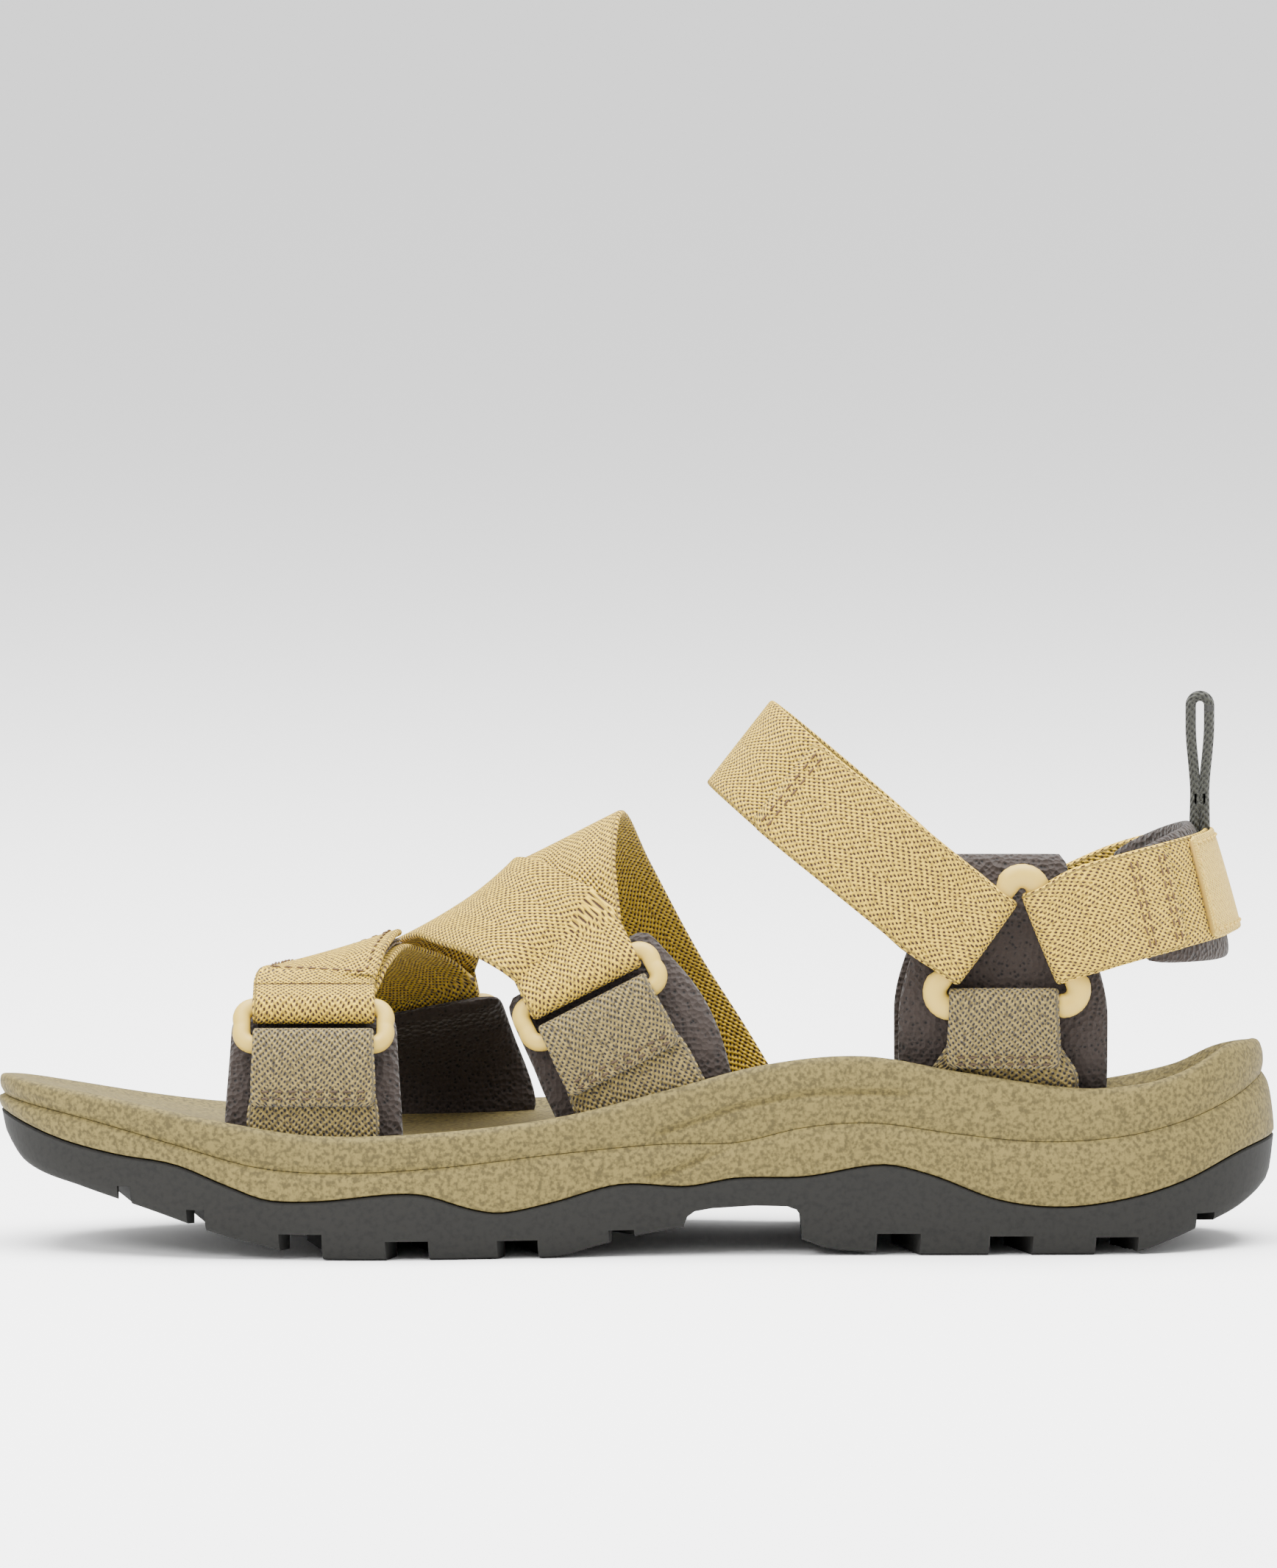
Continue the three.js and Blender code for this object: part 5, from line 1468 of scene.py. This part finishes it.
@dataclass
class HeelCollar:
    """The padded lining inside the heel strap."""

    strap: Sling
    drop: float = 1.2
    widths: tuple[float, float] = (20.0, 29.0)

    def build(self, wardrobe: Wardrobe) -> None:
        """Build and dress the collar."""
        lowered = [(x, y, z - self.drop, tilt) for x, y, z, tilt in self.strap.points]
        run = Band(route(lowered, per_span=6))
        inset = WEBBING_THICK / 2 + GAP + COLLAR_THICK / 2
        inner = run.lifted(self.strap.core, -inset)
        share = np.linspace(0, 1, len(inner.p))
        inner.width = mix(*self.widths, np.sin(math.pi * share) ** 0.5)
        pad = inner.pillow("heel_collar_lining", COLLAR_THICK)
        wardrobe.dress(pad, "lining", Body.SANDAL, "heel_collar")


@dataclass
class PullLoop:
    """The loop of cord at the top of the heel."""

    x: float = 116.2
    z: float = 101.0
    half_width: float = 1.9
    half_height: float = 11.8
    radius: float = 1.1
    foot: float = 0.9

    def _cord(self, name: str, outline: Array, loop: bool) -> bpy.types.Object:
        """Return a round cord carried along an outline in the XZ plane.

        Args:
            name: The piece's name.
            outline: Points of its middle line, from the loop's centre, in millimetres.
            loop: Whether the line closes on itself.

        Returns:
            The new object.
        """
        step = np.roll(outline, -1, 0) - np.roll(outline, 1, 0) if loop else np.gradient(outline, axis=0)
        along = unit(step)
        across = np.stack([along[:, 1], -along[:, 0]], 1)
        angle = np.linspace(0, 2 * math.pi, 14, endpoint=False)
        flat = outline[:, None] + across[:, None] * (self.radius * np.cos(angle))[None, :, None]
        side = np.broadcast_to(self.radius * np.sin(angle), flat.shape[:2])
        rings = np.stack([self.x + flat[..., 0], side, self.z + flat[..., 1]], -1)
        lengths = np.append(0, np.cumsum(np.linalg.norm(np.diff(outline, axis=0), axis=1)))
        return skin(name, rings, loop=loop, caps=not loop, runs=lengths, girth=angle * self.radius)

    def build(self, wardrobe: Wardrobe) -> None:
        """Build and dress the loop, narrow at its foot, and the two ends of cord sewn into the collar."""
        straight = self.half_height - self.half_width
        turn = np.linspace(0, math.pi, 13)
        pinch = np.linspace(1, -1, 17)[1:-1]
        opening = mix(self.foot, self.half_width, smooth((pinch + 0.9) / 1.5))
        left = np.column_stack([-opening, straight * pinch])
        top = np.column_stack([self.half_width * np.cos(turn), straight + self.half_width * np.sin(turn)])
        low = np.column_stack([-self.foot * np.cos(turn), -straight - self.foot * np.sin(turn)])
        outline = np.vstack([top, left, low, left[::-1] * [-1, 1]])
        wardrobe.dress(self._cord("pull_loop_cord", outline, True), "cord", Body.PULL, "pull_loop")
        for side in (-1, 1):
            down = np.linspace(-straight + 1.5, -straight - 9, 9)
            end = np.column_stack([side * np.linspace(self.foot, self.foot + 0.25, 9), down])
            wardrobe.dress(self._cord(f"pull_loop_end_{'ab'[side > 0]}", end, False), "cord", Body.SANDAL)


# ------------------------------------------------------------------ studio


def studio() -> None:
    """Set the floor, the backdrop light, the lamps and the camera."""
    bpy.ops.mesh.primitive_plane_add(size=FLOOR_SIZE, location=(0, 0, CAD_BOX[0].z - FLOOR_DROP))
    floor = bpy.context.object
    floor.name = "studio_floor"
    paper = bpy.data.materials.new("pale paper")
    paper.use_nodes = True
    shader = paper.node_tree.nodes["Principled BSDF"]
    shader.inputs["Base Color"].default_value = (0.95, 0.95, 0.95, 1)
    shader.inputs["Roughness"].default_value = 0.9
    floor.data.materials.append(paper)
    world = bpy.data.worlds.new("studio")
    bpy.context.scene.world = world
    world.use_nodes = True
    surround = world.node_tree.nodes["Background"]
    surround.inputs["Color"].default_value = (1, 1, 1, 1)
    surround.inputs["Strength"].default_value = SURROUND_STRENGTH
    for name, place, size, power in LAMPS:
        lamp = bpy.data.lights.new(name, "AREA")
        lamp.size = size
        lamp.energy = power
        lit = bpy.data.objects.new(name, lamp)
        lit.location = place
        aim = Vector(LAMP_AIM) - lit.location
        lit.rotation_euler = aim.to_track_quat("-Z", "Y").to_euler()
        bpy.context.scene.collection.objects.link(lit)
    camera = bpy.data.objects.new("camera", bpy.data.cameras.new("camera"))
    elevation = math.radians(CAMERA_ELEVATION)
    width = CAD_BOX[1].x - CAD_BOX[0].x
    camera.data.sensor_fit = "HORIZONTAL"
    camera.data.lens = camera.data.sensor_width * CAMERA_DISTANCE / width
    target = Vector(CAMERA_TARGET)
    back = Vector((0, -math.cos(elevation), math.sin(elevation)))
    camera.location = target + CAMERA_DISTANCE * back
    camera.rotation_euler = (target - camera.location).to_track_quat("-Z", "Y").to_euler()
    bpy.context.scene.collection.objects.link(camera)
    bpy.context.scene.camera = camera


def main() -> None:
    """Build the sandal's sub-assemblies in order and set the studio."""
    logging.basicConfig(level=logging.INFO, format="%(name)s %(message)s")
    wardrobe = Wardrobe()
    Sole().build(wardrobe)
    ankle_pad = Pad(30, 8, 0.009, 0.4, (43, 27))
    moorings = (
        Mooring("medial_front", MEDIAL_FRONT, 0.0144, 26, (24.8, 27.2), 11.5, Pad(9.5, 5, 0.09, 0, (37, 34))),
        Mooring("medial_mid", MEDIAL_MID, 0.0083, 29, (24.8, 27), 11.5, Pad(13, 8, 0.009, 0, (36, 34), 1.6)),
        Mooring("lateral_front", LATERAL_FRONT, 0.017, 18, (24.8, 27), 11, Pad(14, 5, 0.045, 0, (40, 34))),
        Mooring("medial_ankle", MEDIAL_ANKLE, 0.0065, 26, (22.6, 31), 11.5, ankle_pad),
        Mooring("lateral_ankle", LATERAL_ANKLE, 0.0065, 23, (22.6, 31), 11.5, ankle_pad),
    )
    for mooring in moorings:
        mooring.build(wardrobe)
    FrontStraps().build(wardrobe)
    ankle = Sling("ankle", Body.ANKLE, 0, 144, 144, vec(69, 0, 62), 21, 7, 9, (
        (48.5, -30.8, 81.7, 52), (34.5, -23.5, 92.6, 52), (24.6, -12, 100.6, 52), (21.3, 0, 103, 52),
        (24.4, 12, 100, 52), (34, 23.5, 91.4, 52), (48, 30.8, 79, 53)), (2.2, 4.0))
    ankle.build(wardrobe)
    heel = Sling("heel", Body.HEEL, 1, 22, 24, vec(82, 0, 66), 20, 5, 9, (
        (102.5, -27.5, 71.6, 105), (112.6, -19.5, 73.6, 105.5), (118.4, -9.5, 74.5, 106),
        (120.2, 0, 74.8, 106), (118.4, 9.5, 74.3, 106), (112.6, 19.5, 72.6, 106),
        (102.5, 27.5, 69.4, 107)), (1.6, 3.0, 8.5, 9.9))
    heel.build(wardrobe)
    HeelBand(heel).build(wardrobe)
    HeelCollar(heel).build(wardrobe)
    PullLoop().build(wardrobe)
    studio()


if __name__ == "__main__":
    main()
